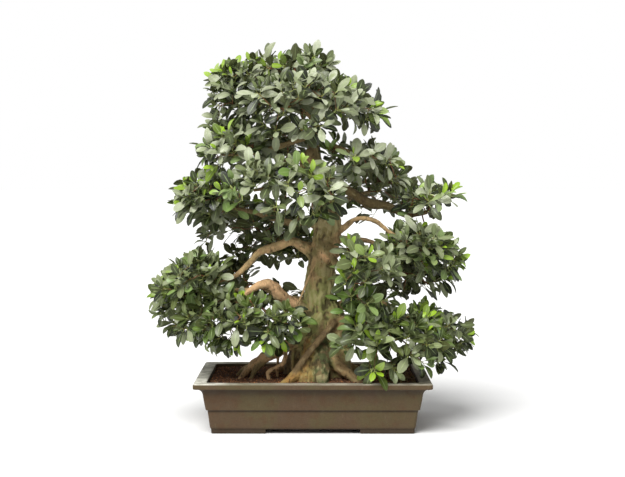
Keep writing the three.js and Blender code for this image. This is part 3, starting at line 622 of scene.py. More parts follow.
def finish_recipe(tree, geometry, finish):
    """End a recipe: make its instances real, give them their material and hand them out"""
    real = add(tree, "GeometryNodeRealizeInstances", {"Geometry": geometry})
    painted = add(tree, "GeometryNodeSetMaterial", {"Geometry": real, "Material": finish})
    leave = tree.nodes.new("NodeGroupOutput")
    feed(tree, painted, leave.inputs[0])


def cook(piece, tree, values):
    """Run a recipe on a piece with the values of its named inputs, and keep the plain result"""
    modifier = piece.modifiers.new(tree.name, "NODES")
    modifier.node_group = tree
    for item in tree.interface.items_tree:
        if item.in_out == "INPUT" and item.name in values:
            modifier[item.identifier] = values[item.name]
    settle(piece)


def named(tree, label, kind="FLOAT"):
    """An attribute of the geometry, by its name"""
    return add(tree, "GeometryNodeInputNamedAttribute", {"Name": label}, data_type=kind)


def chance(tree, low, high, seed):
    """A random number for each point or instance"""
    return add(tree, "FunctionNodeRandomValue", {2: low, 3: high, "Seed": seed}, output=1)


def chance_vector(tree, low, high, seed):
    """A random vector for each point or instance, each part of it between its own two limits"""
    return add(tree, "FunctionNodeRandomValue", {0: low, 1: high, "Seed": seed}, data_type="FLOAT_VECTOR")


def vectors(tree, operation, first, second=(0, 0, 0)):
    """One sum on two vectors"""
    return add(tree, "ShaderNodeVectorMath", {0: first, 1: second}, operation=operation)


def scaled(tree, vector, scale):
    """A vector made longer or shorter"""
    return add(tree, "ShaderNodeVectorMath", {0: vector, "Scale": scale}, operation="SCALE")


def labelled(tree, instances, label, value):
    """Instances that each carry a number, which their faces keep when they are made real"""
    inputs = {"Geometry": instances, "Name": label, "Value": value}
    return add(tree, "GeometryNodeStoreNamedAttribute", inputs, data_type="FLOAT", domain="INSTANCE")


print("Recipe helpers ready")

# %% [markdown]
# ## The grains of soil
#
# Thousands of grains lie on the bed. Placing them one by one would be hopeless, so a recipe scatters points
# over the top of the bed and puts a small rough stone of twenty faces on each, turned and sized at random.
# They stay a grain's width away from the pot's inside.

# %% Grains
GRAIN_DENSITY = 30000
GRAIN_RADIUS = 0.0024
GRAIN_SMALLEST = (0.5, 0.6, 0.45)
GRAIN_LARGEST = (1.35, 1.3, 1.0)
GRAIN_SEED = 11
LEVEL_ENOUGH = 0.5
ANY_TURN = (6.28, 6.28, 6.28)


def grain_recipe():
    """Small stones scattered over the upward faces of a mesh, which stays under them"""
    tree, given = new_recipe("grains", {
        "Grains to the square metre": "float", "Grain radius": "float", "Seed": "int", "Finish": "material",
    })
    normal = add(tree, "GeometryNodeInputNormal")
    upward = add(tree, "ShaderNodeSeparateXYZ", {0: normal}).node.outputs[2]
    level = add(tree, "FunctionNodeCompare", {0: upward, 1: LEVEL_ENOUGH},
                data_type="FLOAT", operation="GREATER_THAN")
    scatter = add(tree, "GeometryNodeDistributePointsOnFaces", {
        "Mesh": given["Geometry"], "Selection": level,
        "Density": given["Grains to the square metre"], "Seed": given["Seed"],
    })
    stone = add(tree, "GeometryNodeMeshIcoSphere", {"Radius": 1.0, "Subdivisions": 1})
    turn = add(tree, "FunctionNodeEulerToRotation", {0: chance_vector(tree, (0, 0, 0), ANY_TURN, 3)})
    size = scaled(tree, chance_vector(tree, GRAIN_SMALLEST, GRAIN_LARGEST, 5), given["Grain radius"])
    stones = add(tree, "GeometryNodeInstanceOnPoints", {
        "Points": scatter, "Instance": stone, "Rotation": turn, "Scale": size,
    })
    stones = labelled(tree, stones, "grain_tint", chance(tree, 0.0, 1.0, 9))
    joined = tree.nodes.new("GeometryNodeJoinGeometry")
    feed(tree, stones, joined.inputs[0])
    feed(tree, given["Geometry"], joined.inputs[0])
    finish_recipe(tree, joined.outputs[0], given["Finish"])
    return tree


print("Grain recipe ready")

# %% [markdown]
# ## The soil's finish
#
# Each grain has a tone of its own, from the number that the recipe gave it: most are reddish brown, some are
# dark, and a few orange or pale. Damp patches darken the bed in places.

# %% Soil finish
SOIL_BROWN = colour(116, 80, 56)
SOIL_DARK = colour(68, 44, 29)
SOIL_ORANGE = colour(170, 112, 66)
SOIL_PALE = colour(150, 130, 104)


def paint_soil():
    """Dark reddish-brown grains, some orange and a few pale"""
    made, tree, shader, where = new_material("granular_soil")
    tint = attribute(tree, "grain_tint")
    damp = grain(tree, where, 22, 4)
    fine = grain(tree, where, 700, 4, 0.7)
    body = stained(tree, SOIL_DARK, SOIL_BROWN, tint, 0.1, 0.75)
    body = stained(tree, body, SOIL_ORANGE, tint, 0.8, 0.95)
    body = stained(tree, body, SOIL_PALE, tint, 0.965, 0.985)
    body = stained(tree, body, SOIL_DARK, damp, 0.5, 0.66, 0.5)
    body = stained(tree, body, SOIL_BROWN, fine, 0.5, 0.7, 0.4)
    feed(tree, body, shader.inputs["Base Color"])
    shader.inputs["Roughness"].default_value = 0.92
    shader.inputs["Specular IOR Level"].default_value = 0.25
    relief(tree, shader, [(fine, 0.0008)])
    return made


cook(soil, grain_recipe(), {
    "Grains to the square metre": GRAIN_DENSITY, "Grain radius": GRAIN_RADIUS, "Seed": GRAIN_SEED,
    "Finish": paint_soil(),
})
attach(soil, "root")
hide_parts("soil")
print("Soil with its grains:", len(soil.data.polygons), "faces")

# %% [markdown]
# ## The drainage nets
#
# Two squares of dark plastic net lie over the holes, under the soil. Nobody sees them unless the pot is
# turned over, so the plain solids stay and only get the finish of moulded plastic.

# %% Net finish
NET_DARK = colour(40, 44, 40)
NET_DULL = colour(60, 62, 56)


def paint_net():
    """Matte moulded plastic, slightly dusty"""
    made, tree, shader, where = new_material("net_plastic")
    dust = grain(tree, where, 120, 5, 0.65)
    feed(tree, stained(tree, NET_DARK, NET_DULL, dust, 0.45, 0.65), shader.inputs["Base Color"])
    rough = between(tree, dust, 0.45, 0.7, *GRAIN_RANGE)
    feed(tree, rough, shader.inputs["Roughness"])
    relief(tree, shader, [(grain(tree, where, 900, 2), 0.0002)])
    return made


net_finish = paint_net()
net_names = [name for name in frame["nodes"] if "net" in name]
for name in net_names:
    paint(bpy.data.objects[name], net_finish)
print("Nets painted:", net_names)

# %% [markdown]
# ## The wood's course
#
# The trunk, its limbs and its roots are lists of points with a thickness at each: across, back, up and
# radius, from the thick end to the thin one. They could be modelled by pulling out one branch after another,
# but a list is easy to compare with a real tree and to correct. Some short pieces are added to them: cut
# stubs, and the buttresses and toes that spread the trunk's foot.

# %% Limbs
LIMBS = {
    "trunk": [
        (10, -65, 95, 66), (12, -62, 150, 58), (10, -58, 205, 46), (12, -54, 260, 43),
        (17, -50, 315, 42), (17, -48, 370, 40), (21, -46, 425, 39), (27, -45, 475, 39),
        (37, -45, 520, 39), (43, -45, 560, 36), (40, -44, 610, 31), (28, -42, 660, 27),
        (14, -40, 710, 22), (5, -40, 760, 17), (0, -40, 800, 15), (2, -38, 840, 13),
        (-5, -36, 885, 10), (-22, -35, 935, 8), (-36, -34, 980, 5.5),
    ],
    "low_left": [
        (-5, -58, 314, 27), (-32, -65, 334, 22), (-62, -76, 349, 18.5), (-85, -86, 363, 17.5),
        (-99, -92, 382, 17), (-111, -97, 398, 15.5), (-130, -104, 405, 13.5), (-153, -110, 400, 11),
        (-178, -118, 383, 8.5), (-220, -125, 345, 6), (-280, -128, 310, 4.5),
    ],
    "low_left_far": [
        (-165, -112, 390, 7), (-210, -95, 385, 6), (-265, -70, 380, 5), (-320, -50, 375, 4),
    ],
    "mid_left": [
        (12, -48, 470, 17), (-22, -55, 500, 15), (-60, -68, 520, 13), (-105, -78, 506, 12),
        (-150, -82, 490, 11), (-186, -80, 452, 8.5), (-225, -74, 420, 6.5), (-300, -68, 400, 4.5),
    ],
    "back_left": [
        (24, -40, 555, 15), (-17, 0, 574, 13), (-63, 30, 568, 11.5), (-178, 60, 600, 7.5),
        (-310, 55, 625, 4),
    ],
    "upper_left": [
        (0, -40, 820, 11), (-30, -48, 809, 10), (-90, -62, 787, 8), (-165, -66, 768, 6),
        (-255, -60, 762, 4),
    ],
    "front_left": [
        (0, -45, 780, 10), (-25, -85, 755, 9), (-40, -145, 705, 7), (-90, -180, 680, 6),
        (-160, -195, 665, 4),
    ],
    "upper_right": [
        (2, -42, 795, 8), (30, -50, 792, 6.5), (80, -55, 780, 5.5), (140, -47, 755, 4),
    ],
    "big_right": [
        (14, -40, 705, 17), (55, -25, 695, 14.5), (100, -10, 660, 14), (160, 8, 626, 14),
        (210, 13, 618, 11.5), (265, 15, 592, 8.5), (325, 8, 600, 5.5),
    ],
    "arch_right": [
        (48, -45, 540, 14), (82, -55, 555, 10), (120, -68, 583, 7.5), (168, -78, 580, 7),
        (214, -80, 546, 6), (280, -72, 500, 4),
    ],
    "mid_right": [
        (52, -45, 525, 12), (105, -47, 526, 8), (165, -34, 517, 6.5), (215, -14, 483, 5),
        (250, 10, 430, 3.5),
    ],
    "knob": [
        (28, -55, 520, 15), (50, -95, 495, 13), (66, -130, 458, 9), (90, -165, 430, 6),
        (115, -190, 412, 4),
    ],
    "low_right": [
        (30, -58, 270, 20), (85, -84, 298, 15), (133, -114, 305, 12.5), (172, -138, 273, 9),
        (215, -155, 255, 5),
    ],
    "high_right": [
        (36, -48, 315, 18), (95, -36, 344, 14), (165, -20, 350, 12.5), (230, -3, 322, 11),
        (270, 8, 290, 8.5), (335, 16, 262, 5),
    ],
    "back_high": [
        (20, -35, 670, 12), (0, 40, 692, 9.5), (-30, 100, 712, 7.5), (-80, 160, 738, 5),
    ],
    "back_right": [
        (38, -38, 590, 13), (66, 30, 618, 11), (110, 100, 640, 8), (165, 165, 655, 5),
    ],
    "back_left_low": [
        (20, -35, 500, 13), (-25, 30, 505, 10.5), (-90, 100, 515, 7.5), (-150, 155, 530, 5),
    ],
    "back_low": [
        (30, -35, 450, 13), (60, 35, 450, 11), (100, 100, 425, 8), (145, 160, 400, 5),
    ],
    "back_bottom": [
        (5, -40, 335, 14), (-30, 30, 345, 11), (-85, 95, 350, 8), (-140, 150, 365, 5),
    ],
    "crown_left": [
        (-3, -38, 865, 8), (-45, -46, 897, 7), (-110, -55, 920, 5.5), (-180, -56, 925, 4),
    ],
    "crown_right": [
        (0, -38, 850, 8), (40, -40, 874, 6.5), (115, -42, 890, 4),
    ],
    "crown_back": [
        (-6, -35, 890, 7), (-18, 30, 925, 5.5), (-35, 90, 950, 4),
    ],
    "crown_front": [
        (-3, -38, 880, 7), (-20, -95, 898, 5.5), (-40, -145, 905, 4),
    ],
}
ROOTS = {
    "left_root": [
        (0, -58, 270, 26), (-50, -56, 240, 20), (-95, -48, 212, 17), (-146, -36, 184, 16),
        (-185, -26, 152, 12), (-208, -22, 124, 8),
    ],
    "left_back_root": [
        (5, -50, 220, 26), (-45, 0, 175, 18), (-95, 45, 146, 12), (-150, 70, 118, 7),
    ],
    "curling_root": [
        (-40, -66, 248, 8), (-74, -76, 228, 7), (-77, -84, 200, 7), (-84, -90, 180, 7),
        (-106, -94, 168, 6.5), (-126, -96, 156, 6.5), (-123, -98, 140, 6), (-116, -98, 122, 5.5),
    ],
    "diagonal_root": [
        (62, -92, 300, 10), (48, -104, 282, 10), (22, -122, 255, 10), (-4, -136, 225, 10),
        (-28, -146, 196, 9.5), (-48, -152, 165, 9), (-62, -156, 140, 8), (-70, -158, 118, 7),
    ],
    "front_left_root": [
        (5, -75, 220, 28), (-15, -118, 180, 20), (-52, -150, 152, 15), (-95, -172, 122, 8),
    ],
    "front_root": [
        (18, -70, 230, 32), (22, -112, 185, 28), (24, -150, 150, 22), (26, -178, 115, 12),
    ],
    "front_right_root": [
        (25, -70, 225, 26), (70, -105, 175, 18), (112, -135, 146, 12), (150, -155, 118, 7),
    ],
    "right_root": [
        (25, -55, 230, 26), (80, -50, 178, 18), (135, -40, 146, 12), (190, -32, 118, 7),
    ],
    "back_root": [
        (10, -45, 230, 28), (20, 10, 172, 20), (35, 60, 145, 13), (50, 110, 118, 7),
    ],
    "hanging_long": [
        (8, -74, 465, 5), (-12, -92, 420, 3.4), (-32, -104, 372, 3), (-55, -108, 320, 3),
        (-66, -84, 262, 3.5),
    ],
    "hanging_left": [
        (-98, -48, 212, 4), (-100, -50, 165, 3.5), (-101, -50, 118, 3.5),
    ],
    "hanging_near": [
        (-55, -60, 240, 4.5), (-57, -64, 180, 4), (-58, -66, 118, 4),
    ],
}
STUBS = {
    "cut_stub": [(42, -58, 494, 20), (54, -84, 490, 19), (61, -104, 487, 17)],
    "curved_stub": [(5, -38, 725, 11), (-10, -52, 748, 10), (-28, -58, 760, 9)],
    "hanging_stub": [(262, 15, 596, 8), (272, 13, 583, 7.5), (279, 12, 570, 7)],
    "tan_stub": [(226, -4, 326, 11), (240, -8, 312, 10.5), (251, -12, 302, 10)],
    "right_buttress": [
        (38, -56, 360, 24), (54, -60, 310, 30), (66, -62, 260, 34), (70, -62, 210, 36), (74, -64, 160, 34),
        (84, -66, 112, 26),
    ],
    "left_buttress": [(-15, -42, 240, 30), (-42, -22, 196, 28), (-58, -4, 152, 26), (-68, 8, 116, 20)],
    "front_buttress": [(0, -82, 225, 24), (-8, -108, 190, 25), (-14, -130, 158, 25), (-20, -148, 118, 24)],
    "left_toe_front": [(-160, -40, 172, 9), (-192, -56, 148, 7.5), (-212, -66, 124, 5.5)],
    "left_toe_back": [(-165, -26, 172, 9), (-200, -4, 150, 7.5), (-222, 8, 124, 5.5)],
    "left_toe_low": [(-140, -44, 178, 9), (-165, -62, 152, 7.5), (-178, -74, 124, 5.5)],
    "right_toe_front": [(88, -118, 162, 11), (118, -150, 138, 8), (140, -172, 122, 6)],
    "right_toe_back": [(100, -46, 165, 10), (140, -62, 142, 8), (172, -70, 122, 6)],
}

print("Limbs:", len(LIMBS), "roots:", len(ROOTS), "stubs and buttresses:", len(STUBS))

# %% [markdown]
# ## Curves through the points
#
# A limb bends smoothly from point to point. A Catmull-Rom curve passes through every point of its list, and
# with knots at the square root of the distances it makes no loops where the points lie close. Along it run
# two directions across, which turn with it as little as they can, so that a tube round it isn't twisted.

# %% Curves and tubes
WOOD_SPACING = 7
FIRST_ACROSS = (0.31, 0.94, 0.12)


def mixed(first, second, low, high, at):
    """The place between two others, where a knot lies between the knots that belong to them"""
    return first * ((high - at) / (high - low)) + second * ((at - low) / (high - low))


def on_curve(places, knots, at):
    """The place at a knot on the curve through four places"""
    before, start, end, after = places
    first = mixed(before, start, knots[0], knots[1], at)
    second = mixed(start, end, knots[1], knots[2], at)
    third = mixed(end, after, knots[2], knots[3], at)
    left = mixed(first, second, knots[0], knots[2], at)
    right = mixed(second, third, knots[1], knots[3], at)
    return mixed(left, right, knots[1], knots[2], at)


def through(points, spacing):
    """A smooth curve through points with radii, as evenly spaced (place, radius) samples in millimetres"""
    places = [Vector(point[:3]) for point in points]
    places = [2 * places[0] - places[1], *places, 2 * places[-1] - places[-2]]
    samples = []
    for step in range(len(points) - 1):
        near = places[step:step + 4]
        knots = [0.0]
        for first, second in zip(near, near[1:]):
            knots.append(knots[-1] + math.sqrt((second - first).length))
        count = max(2, round((near[2] - near[1]).length / spacing))
        for part in range(count if step < len(points) - 2 else count + 1):
            share = part / count
            radius = points[step][3] * (1 - share) + points[step + 1][3] * share
            samples.append((on_curve(near, knots, knots[1] + share * (knots[2] - knots[1])), radius))
    return samples


def along(samples):
    """For each sample of a curve: its place, radius, direction, two directions across, and distance along"""
    frames = []
    across = Vector(FIRST_ACROSS)
    distance = 0.0
    for step, (centre, radius) in enumerate(samples):
        before = samples[max(step - 1, 0)][0]
        after = samples[min(step + 1, len(samples) - 1)][0]
        direction = (after - before).normalized()
        across = (across - across.dot(direction) * direction).normalized()
        distance += (centre - before).length
        frames.append((centre, radius, direction, across, direction.cross(across), distance))
    return frames


def tube(samples, sides):
    """A closed round tube along samples: its points and faces"""
    turns = [2 * math.pi * side / sides for side in range(sides)]
    rings = []
    for centre, radius, direction, across, sideways, distance in along(samples):
        rings.append([centre + radius * (math.cos(a) * across + math.sin(a) * sideways) for a in turns])
    return skin(rings)


limb_samples = {name: through(points, WOOD_SPACING) for name, points in {**LIMBS, **ROOTS, **STUBS}.items()}
print("Samples along all limbs:", sum(len(samples) for samples in limb_samples.values()))

# %% [markdown]
# ## Growing the wood together
#
# On a real ficus the limbs run into the trunk without a seam and the roots melt into its foot. Joining round
# tubes leaves sharp creases where they cross. A voxel remesh turns all the tubes into one skin, and a little
# smoothing then fills the creases as bark does. It would swallow the thinnest aerial roots, so those stay
# tubes of their own that start inside the wood.

# %% Wood
THICK_ENOUGH = 5.2
THIN_BELOW = 6.0
THIN_OVERLAP = 2
TUCKED_IN = 0.9
VOXEL = 3.3
SOFTENING = 0.5
SOFTENING_ROUNDS = 5
THICK_SIDES = 20
THIN_SIDES = 10


def thick_part(samples):
    """The first samples of a limb, for as long as it is thick enough to be remeshed"""
    kept = [sample for sample in samples if sample[1] >= THICK_ENOUGH]
    return samples[:len(kept) + 1] if len(kept) > 2 else []


def thin_part(samples):
    """The last samples of a limb, from a little before it is too thin, with a first one inside the wood"""
    first = next((step for step, sample in enumerate(samples) if sample[1] < THIN_BELOW), None)
    if first is None:
        return []
    (centre, radius), *others = samples[max(first - THIN_OVERLAP, 0):]
    return [(centre, radius * TUCKED_IN), *others]


def joined_tubes(name, parts, sides):
    """One object of many tubes"""
    points, faces = [], []
    for samples in parts:
        tube_points, tube_faces = tube(samples, sides)
        faces += [tuple(corner + len(points) for corner in face) for face in tube_faces]
        points += tube_points
    return new_object(name, points, faces)


thick_parts = [part for part in map(thick_part, limb_samples.values()) if part]
wood = joined_tubes("wood_and_roots", thick_parts, THICK_SIDES)
remesh = wood.modifiers.new("grow_together", "REMESH")
remesh.mode = "VOXEL"
remesh.voxel_size = VOXEL * MM
smooth = wood.modifiers.new("soften", "SMOOTH")
smooth.factor = SOFTENING
smooth.iterations = SOFTENING_ROUNDS
settle(wood)
thin_parts = [part for part in map(thin_part, limb_samples.values()) if part]
thin_wood = joined_tubes("thin_wood", thin_parts, THIN_SIDES)
print("Wood grown together:", len(wood.data.vertices), "points; thin parts:", len(thin_parts))

# %% [markdown]
# ## The bark's tones
#
# Bark changes from limb to limb: a limb that was bent is tan, a wet root is mossy, the thick limb on the
# right is dark. Each limb has four shares for that. A thin limb's tone would end in a hard edge at the
# trunk, so it fades into the trunk's own tone there. For each point of the wood, the nearest place on the
# nearest limb tells whose tone it takes, and the relief will need the same place.

# %% Bark tones
# How tan, how dark, how mossy and how ochre each limb's bark is, where it isn't the plain tone of its kind
BARK_TONES = {
    "low_left": (1.0, 0.0, 0.0, 0.0),
    "low_left_far": (0.7, 0.1, 0.1, 0.0),
    "mid_left": (0.75, 0.05, 0.25, 0.0),
    "arch_right": (0.7, 0.2, 0.1, 0.0),
    "mid_right": (0.55, 0.3, 0.1, 0.0),
    "big_right": (0.15, 0.8, 0.1, 0.0),
    "low_right": (0.6, 0.1, 0.1, 0.1),
    "high_right": (0.65, 0.15, 0.1, 0.0),
    "knob": (0.3, 0.4, 0.2, 0.0),
    "cut_stub": (1.0, 0.0, 0.0, 0.0),
    "curved_stub": (1.0, 0.0, 0.0, 0.0),
    "tan_stub": (1.0, 0.0, 0.0, 0.0),
    "hanging_stub": (0.9, 0.1, 0.0, 0.0),
    "left_root": (1.0, 0.0, 0.0, 0.1),
    "left_toe_front": (1.0, 0.0, 0.0, 0.2),
    "curling_root": (0.9, 0.1, 0.0, 0.0),
    "diagonal_root": (0.2, 0.9, 0.0, 0.1),
    "front_left_root": (0.3, 0.0, 0.2, 0.85),
    "front_root": (0.0, 0.9, 1.0, 0.0),
    "hanging_long": (0.6, 0.2, 0.0, 0.0),
    "hanging_left": (0.8, 0.1, 0.0, 0.0),
    "hanging_near": (0.8, 0.1, 0.0, 0.0),
    "left_buttress": (0.3, 0.6, 0.1, 0.0),
    "right_buttress": (0.35, 0.0, 0.6, 0.0),
    "front_buttress": (0.3, 0.0, 0.35, 0.8),
}
ROOT_TONE = (0.65, 0.15, 0.1, 0.15)
UPPER_WOOD_TONE = (0.3, 0.5, 0.1, 0.0)
# Roots and stubs that keep their own tone right up to the trunk
OWN_TONE_AT_TRUNK = {
    "front_root", "front_buttress", "front_left_root", "diagonal_root", "hanging_long", "cut_stub",
    "left_buttress",
}
TRUNK_TONE_FROM = 170
TRUNK_TONE_TO = 500
# From how far off the trunk's middle, in radii, a limb has its own tone, and over how many it fades
OWN_TONE_FROM = 1.65
OWN_TONE_FADE = 0.4
NEAR_SAMPLES = 10
# The trunk's own tone is a little tan. Over so many millimetres upwards it turns dark, and downwards mossy
TRUNK_TAN = 0.15
DARK_FROM = 430
DARK_OVER = 230
MOSSY_FROM = 470
MOSSY_OVER = 90

limb_frames = {name: along(samples) for name, samples in limb_samples.items()}
centres = [(name, step) for name, frames in limb_frames.items() for step in range(len(frames))]
finder = KDTree(len(centres))
for number, (name, step) in enumerate(centres):
    finder.insert(limb_frames[name][step][0], number)
finder.balance()


def depth_under_bark(found):
    """How far a point is from the bark of a limb, from what the finder says of one of its samples"""
    name, step = centres[found[1]]
    return found[2] - limb_frames[name][step][1]


def nearest_on_limb(point):
    """The limb and the sample whose bark is nearest to a point in millimetres"""
    return centres[min(finder.find_n(point, NEAR_SAMPLES), key=depth_under_bark)[1]]


def clamped(value):
    """A number held between 0 and 1"""
    return min(max(value, 0), 1)


def trunk_tone(height):
    """The trunk's tone: mossy low down and dark high up"""
    dark = 0.1 + 0.65 * clamped((height - DARK_FROM) / DARK_OVER)
    moss = 0.3 + 0.65 * clamped((MOSSY_FROM - height) / MOSSY_OVER)
    return Vector((TRUNK_TAN, dark, moss, 0))


def bark_tone(name, point):
    """Tan, dark, moss and ochre at a point on a limb"""
    if name == "trunk":
        return trunk_tone(point.z)
    own = Vector(BARK_TONES.get(name, ROOT_TONE if name in ROOTS else UPPER_WOOD_TONE))
    if name in OWN_TONE_AT_TRUNK or not TRUNK_TONE_FROM < point.z < TRUNK_TONE_TO:
        return own
    level = min(limb_frames["trunk"], key=lambda sample: abs(sample[0].z - point.z))
    away = math.hypot(point.x - level[0].x, point.y - level[0].y) / level[1]
    return own.lerp(trunk_tone(point.z), clamped((OWN_TONE_FROM - away) / OWN_TONE_FADE))


print("Bark tones for", len(BARK_TONES), "limbs")

# %% [markdown]
# ## Bark relief
#
# The trunk of an old ficus is fluted: long soft ridges run up it from each root. The limbs have the same
# flutes, finer, and rings of wrinkles where they bend. Noise drawn in coordinates along and round the
# nearest limb runs along it whatever way it turns, and lumps and knots are noise in space. A bump in the
# finish alone would leave the outline smooth, so the points of the mesh really move.

# %% Bark relief
FLUTE_DEPTH = 0.11
FLUTE_LARGEST = 3.8
FLUTE_LENGTH = 75
FLUTES_ROUND = 2.1
FLUTE_SINK = 0.45
WRINKLE_DEPTH = 0.7
WRINKLE_LENGTH = 9
WRINKLES_ROUND = 0.7
TRUNK_WRINKLES = 0.3
LUMP_DEPTH = 2.8
LUMP_SIZE = 26
LUMP_LARGEST = 2.0
KNOT_DEPTH = 1.7
KNOT_SIZE = 10
KNOT_LARGEST = 1.6
FULL_LUMPS_FROM = 14
HOLLOW_RANGE = 8.0
TONE_ROUNDS = 6


def even_out(mesh, values, rounds):
    """Blur values over a mesh's points, each towards the middle of its neighbours"""
    neighbours = [[] for point in mesh.vertices]
    for edge in mesh.edges:
        first, second = edge.vertices
        neighbours[first].append(second)
        neighbours[second].append(first)
    for turn in range(rounds):
        values = [
            (value + sum((values[other] for other in near), value * 0)) / (1 + len(near))
            for value, near in zip(values, neighbours)
        ]
    return values


def bark_height(name, step, point):
    """How far the bark stands out at a point near a sample of a limb, in millimetres"""
    centre, radius, direction, across, sideways, distance = limb_frames[name][step]
    out = point - centre
    distance += out.dot(direction)
    round_x, round_y = out.dot(across) / radius, out.dot(sideways) / radius
    seed = len(name) * 7.3
    flute_place = Vector((round_x * FLUTES_ROUND + seed, round_y * FLUTES_ROUND, distance / FLUTE_LENGTH))
    flute = 2 * abs(noise.fractal(flute_place, 0.9, 2.0, 3)) - FLUTE_SINK
    flute *= min(FLUTE_DEPTH * radius, FLUTE_LARGEST)
    wrinkle_place = Vector((
        round_x * WRINKLES_ROUND, round_y * WRINKLES_ROUND + seed, distance / WRINKLE_LENGTH,
    ))
    wrinkle = noise.noise(wrinkle_place) * WRINKLE_DEPTH * (TRUNK_WRINKLES if name == "trunk" else 1.0)
    lump = noise.noise(point / LUMP_SIZE) * LUMP_DEPTH * min(radius / FULL_LUMPS_FROM, LUMP_LARGEST)
    knot = noise.noise(point / KNOT_SIZE) * KNOT_DEPTH * min(radius / FULL_LUMPS_FROM, KNOT_LARGEST)
    return flute + wrinkle + lump + knot


def write(mesh, label, values, kind="FLOAT", domain="POINT"):
    """Store a number, a vector or a colour for each point or face of a mesh, under a name"""
    part = {"FLOAT_VECTOR": "vector", "FLOAT_COLOR": "color"}.get(kind, "value")
    if part != "value":
        values = [number for value in values for number in value]
    mesh.attributes.new(label, kind, domain).data.foreach_set(part, values)


def bark(mesh):
    """Raise the bark's relief on a mesh, and write its tones and its hollows as attributes, the hollows for
    painted shade and highlight
    """
    heights, tones = [], []
    for vertex in mesh.vertices:
        point = in_millimetres(vertex.co)
        name, step = nearest_on_limb(point)
        heights.append(bark_height(name, step, point))
        tones.append(bark_tone(name, point))
    # How deep each point lies in the relief, which steers painted shade in the hollows and a painted
    # highlight on the ridges
    write(mesh, "bark_hollow", [clamped(0.5 - height / HOLLOW_RANGE) for height in heights])
    write(mesh, "bark_tone", even_out(mesh, tones, TONE_ROUNDS), "FLOAT_COLOR")
    normals = [vertex.normal.copy() for vertex in mesh.vertices]
    for vertex, normal, height in zip(mesh.vertices, normals, even_out(mesh, heights, 1)):
        vertex.co += normal * height * MM


for piece in (wood, thin_wood):
    bark(piece.data)
print("Bark raised on", len(wood.data.vertices) + len(thin_wood.data.vertices), "points")

# %% [markdown]
# ## The bark's finish
#
# The bark is olive-tan, mossy green low on the trunk, dark brown high up and on the thick right-hand limb,
# and almost pink where a limb was bent and its skin stretched. The tones written on the mesh steer the
# colour, three sizes of noise add the stains, the pale lenticels and the fine cracks, and the relief's
# hollows get painted shade and its ridges a painted highlight.

# %% Bark finish
BARK_OLIVE = colour(158, 144, 92)
BARK_TAN = colour(226, 184, 136)
BARK_DARK = colour(84, 64, 42)
BARK_MOSS = colour(148, 150, 88)
BARK_WET_MOSS = colour(64, 70, 38)
BARK_OCHRE = colour(166, 120, 56)
# Dark of the cracks and stains, and of the painted shade in the relief's hollows
BARK_CRACK_AND_SHADE = colour(56, 42, 24)
# Pale of the streaks and lenticels, and of the painted highlight on the relief's ridges
BARK_PALE_AND_HIGHLIGHT = colour(188, 176, 128)


def paint_bark():
    """Bark of a ficus, toned by the bark_tone attribute"""
    made, tree, shader, where = new_material("ficus_bark")
    tone = attribute(tree, "bark_tone", output=1)
    tan, dark, moss = add(tree, "ShaderNodeSeparateXYZ", {0: tone}).node.outputs
    ochre = attribute(tree, "bark_tone", output=3)
    hollow = attribute(tree, "bark_hollow")
    broad = grain(tree, where, 26, 5)
    patches = grain(tree, where, 48, 6, 0.65)
    streak = grain(tree, stretched(tree, where, (1, 1, 0.3)), 130, 5, 0.6)
    fine = grain(tree, where, 520, 5, 0.7)
    dots = add(tree, "ShaderNodeTexVoronoi", {"Vector": where, "Scale": 240})

    body = tinted(tree, tan, BARK_OLIVE, BARK_TAN)
    body = tinted(tree, ochre, body, BARK_OCHRE)
    body = stained(tree, body, BARK_CRACK_AND_SHADE, broad, 0.42, 0.62, 0.45)
    body = stained(tree, body, BARK_PALE_AND_HIGHLIGHT, streak, 0.55, 0.72, 0.4)
    body = stained(tree, body, BARK_CRACK_AND_SHADE, streak, 0.46, 0.32, 0.75)
    body = tinted(tree, maths(tree, "MULTIPLY", dark, 0.8), body, BARK_DARK)
    moss_share = maths(tree, "MULTIPLY", moss, fade(tree, patches, 0.4, 0.52))
    body = tinted(tree, moss_share, body, tinted(tree, dark, BARK_MOSS, BARK_WET_MOSS))
    # Painted highlight on the ridges of the relief, and painted shade in its hollows
    body = stained(tree, body, BARK_PALE_AND_HIGHLIGHT, hollow, 0.42, 0.1, 0.45)
    body = stained(tree, body, BARK_CRACK_AND_SHADE, hollow, 0.58, 0.95, 0.75)
    body = stained(tree, body, BARK_PALE_AND_HIGHLIGHT, dots, 0.16, 0.06, 0.35)
    feed(tree, body, shader.inputs["Base Color"])
    rough = between(tree, streak, 0.62, 0.85, *GRAIN_RANGE)
    feed(tree, rough, shader.inputs["Roughness"])
    shader.inputs["Specular IOR Level"].default_value = 0.35
    relief(tree, shader, [(patches, 0.006), (streak, 0.004), (fine, 0.0012)])
    return made


bark_finish = paint_bark()
for piece in (wood, thin_wood):
    paint(piece, bark_finish)
    piece.data.shade_smooth()
    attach(piece, "root")
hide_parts("tree_wood")
print("Wood:", len(wood.data.polygons), "faces")

# %% [markdown]
# ## The pads
#
# A bonsai's crown is a set of flat pads, one on each limb, with air between them. Each pad is a flattened
# dome: the limb that carries it, a centre, and a reach across, back and up.

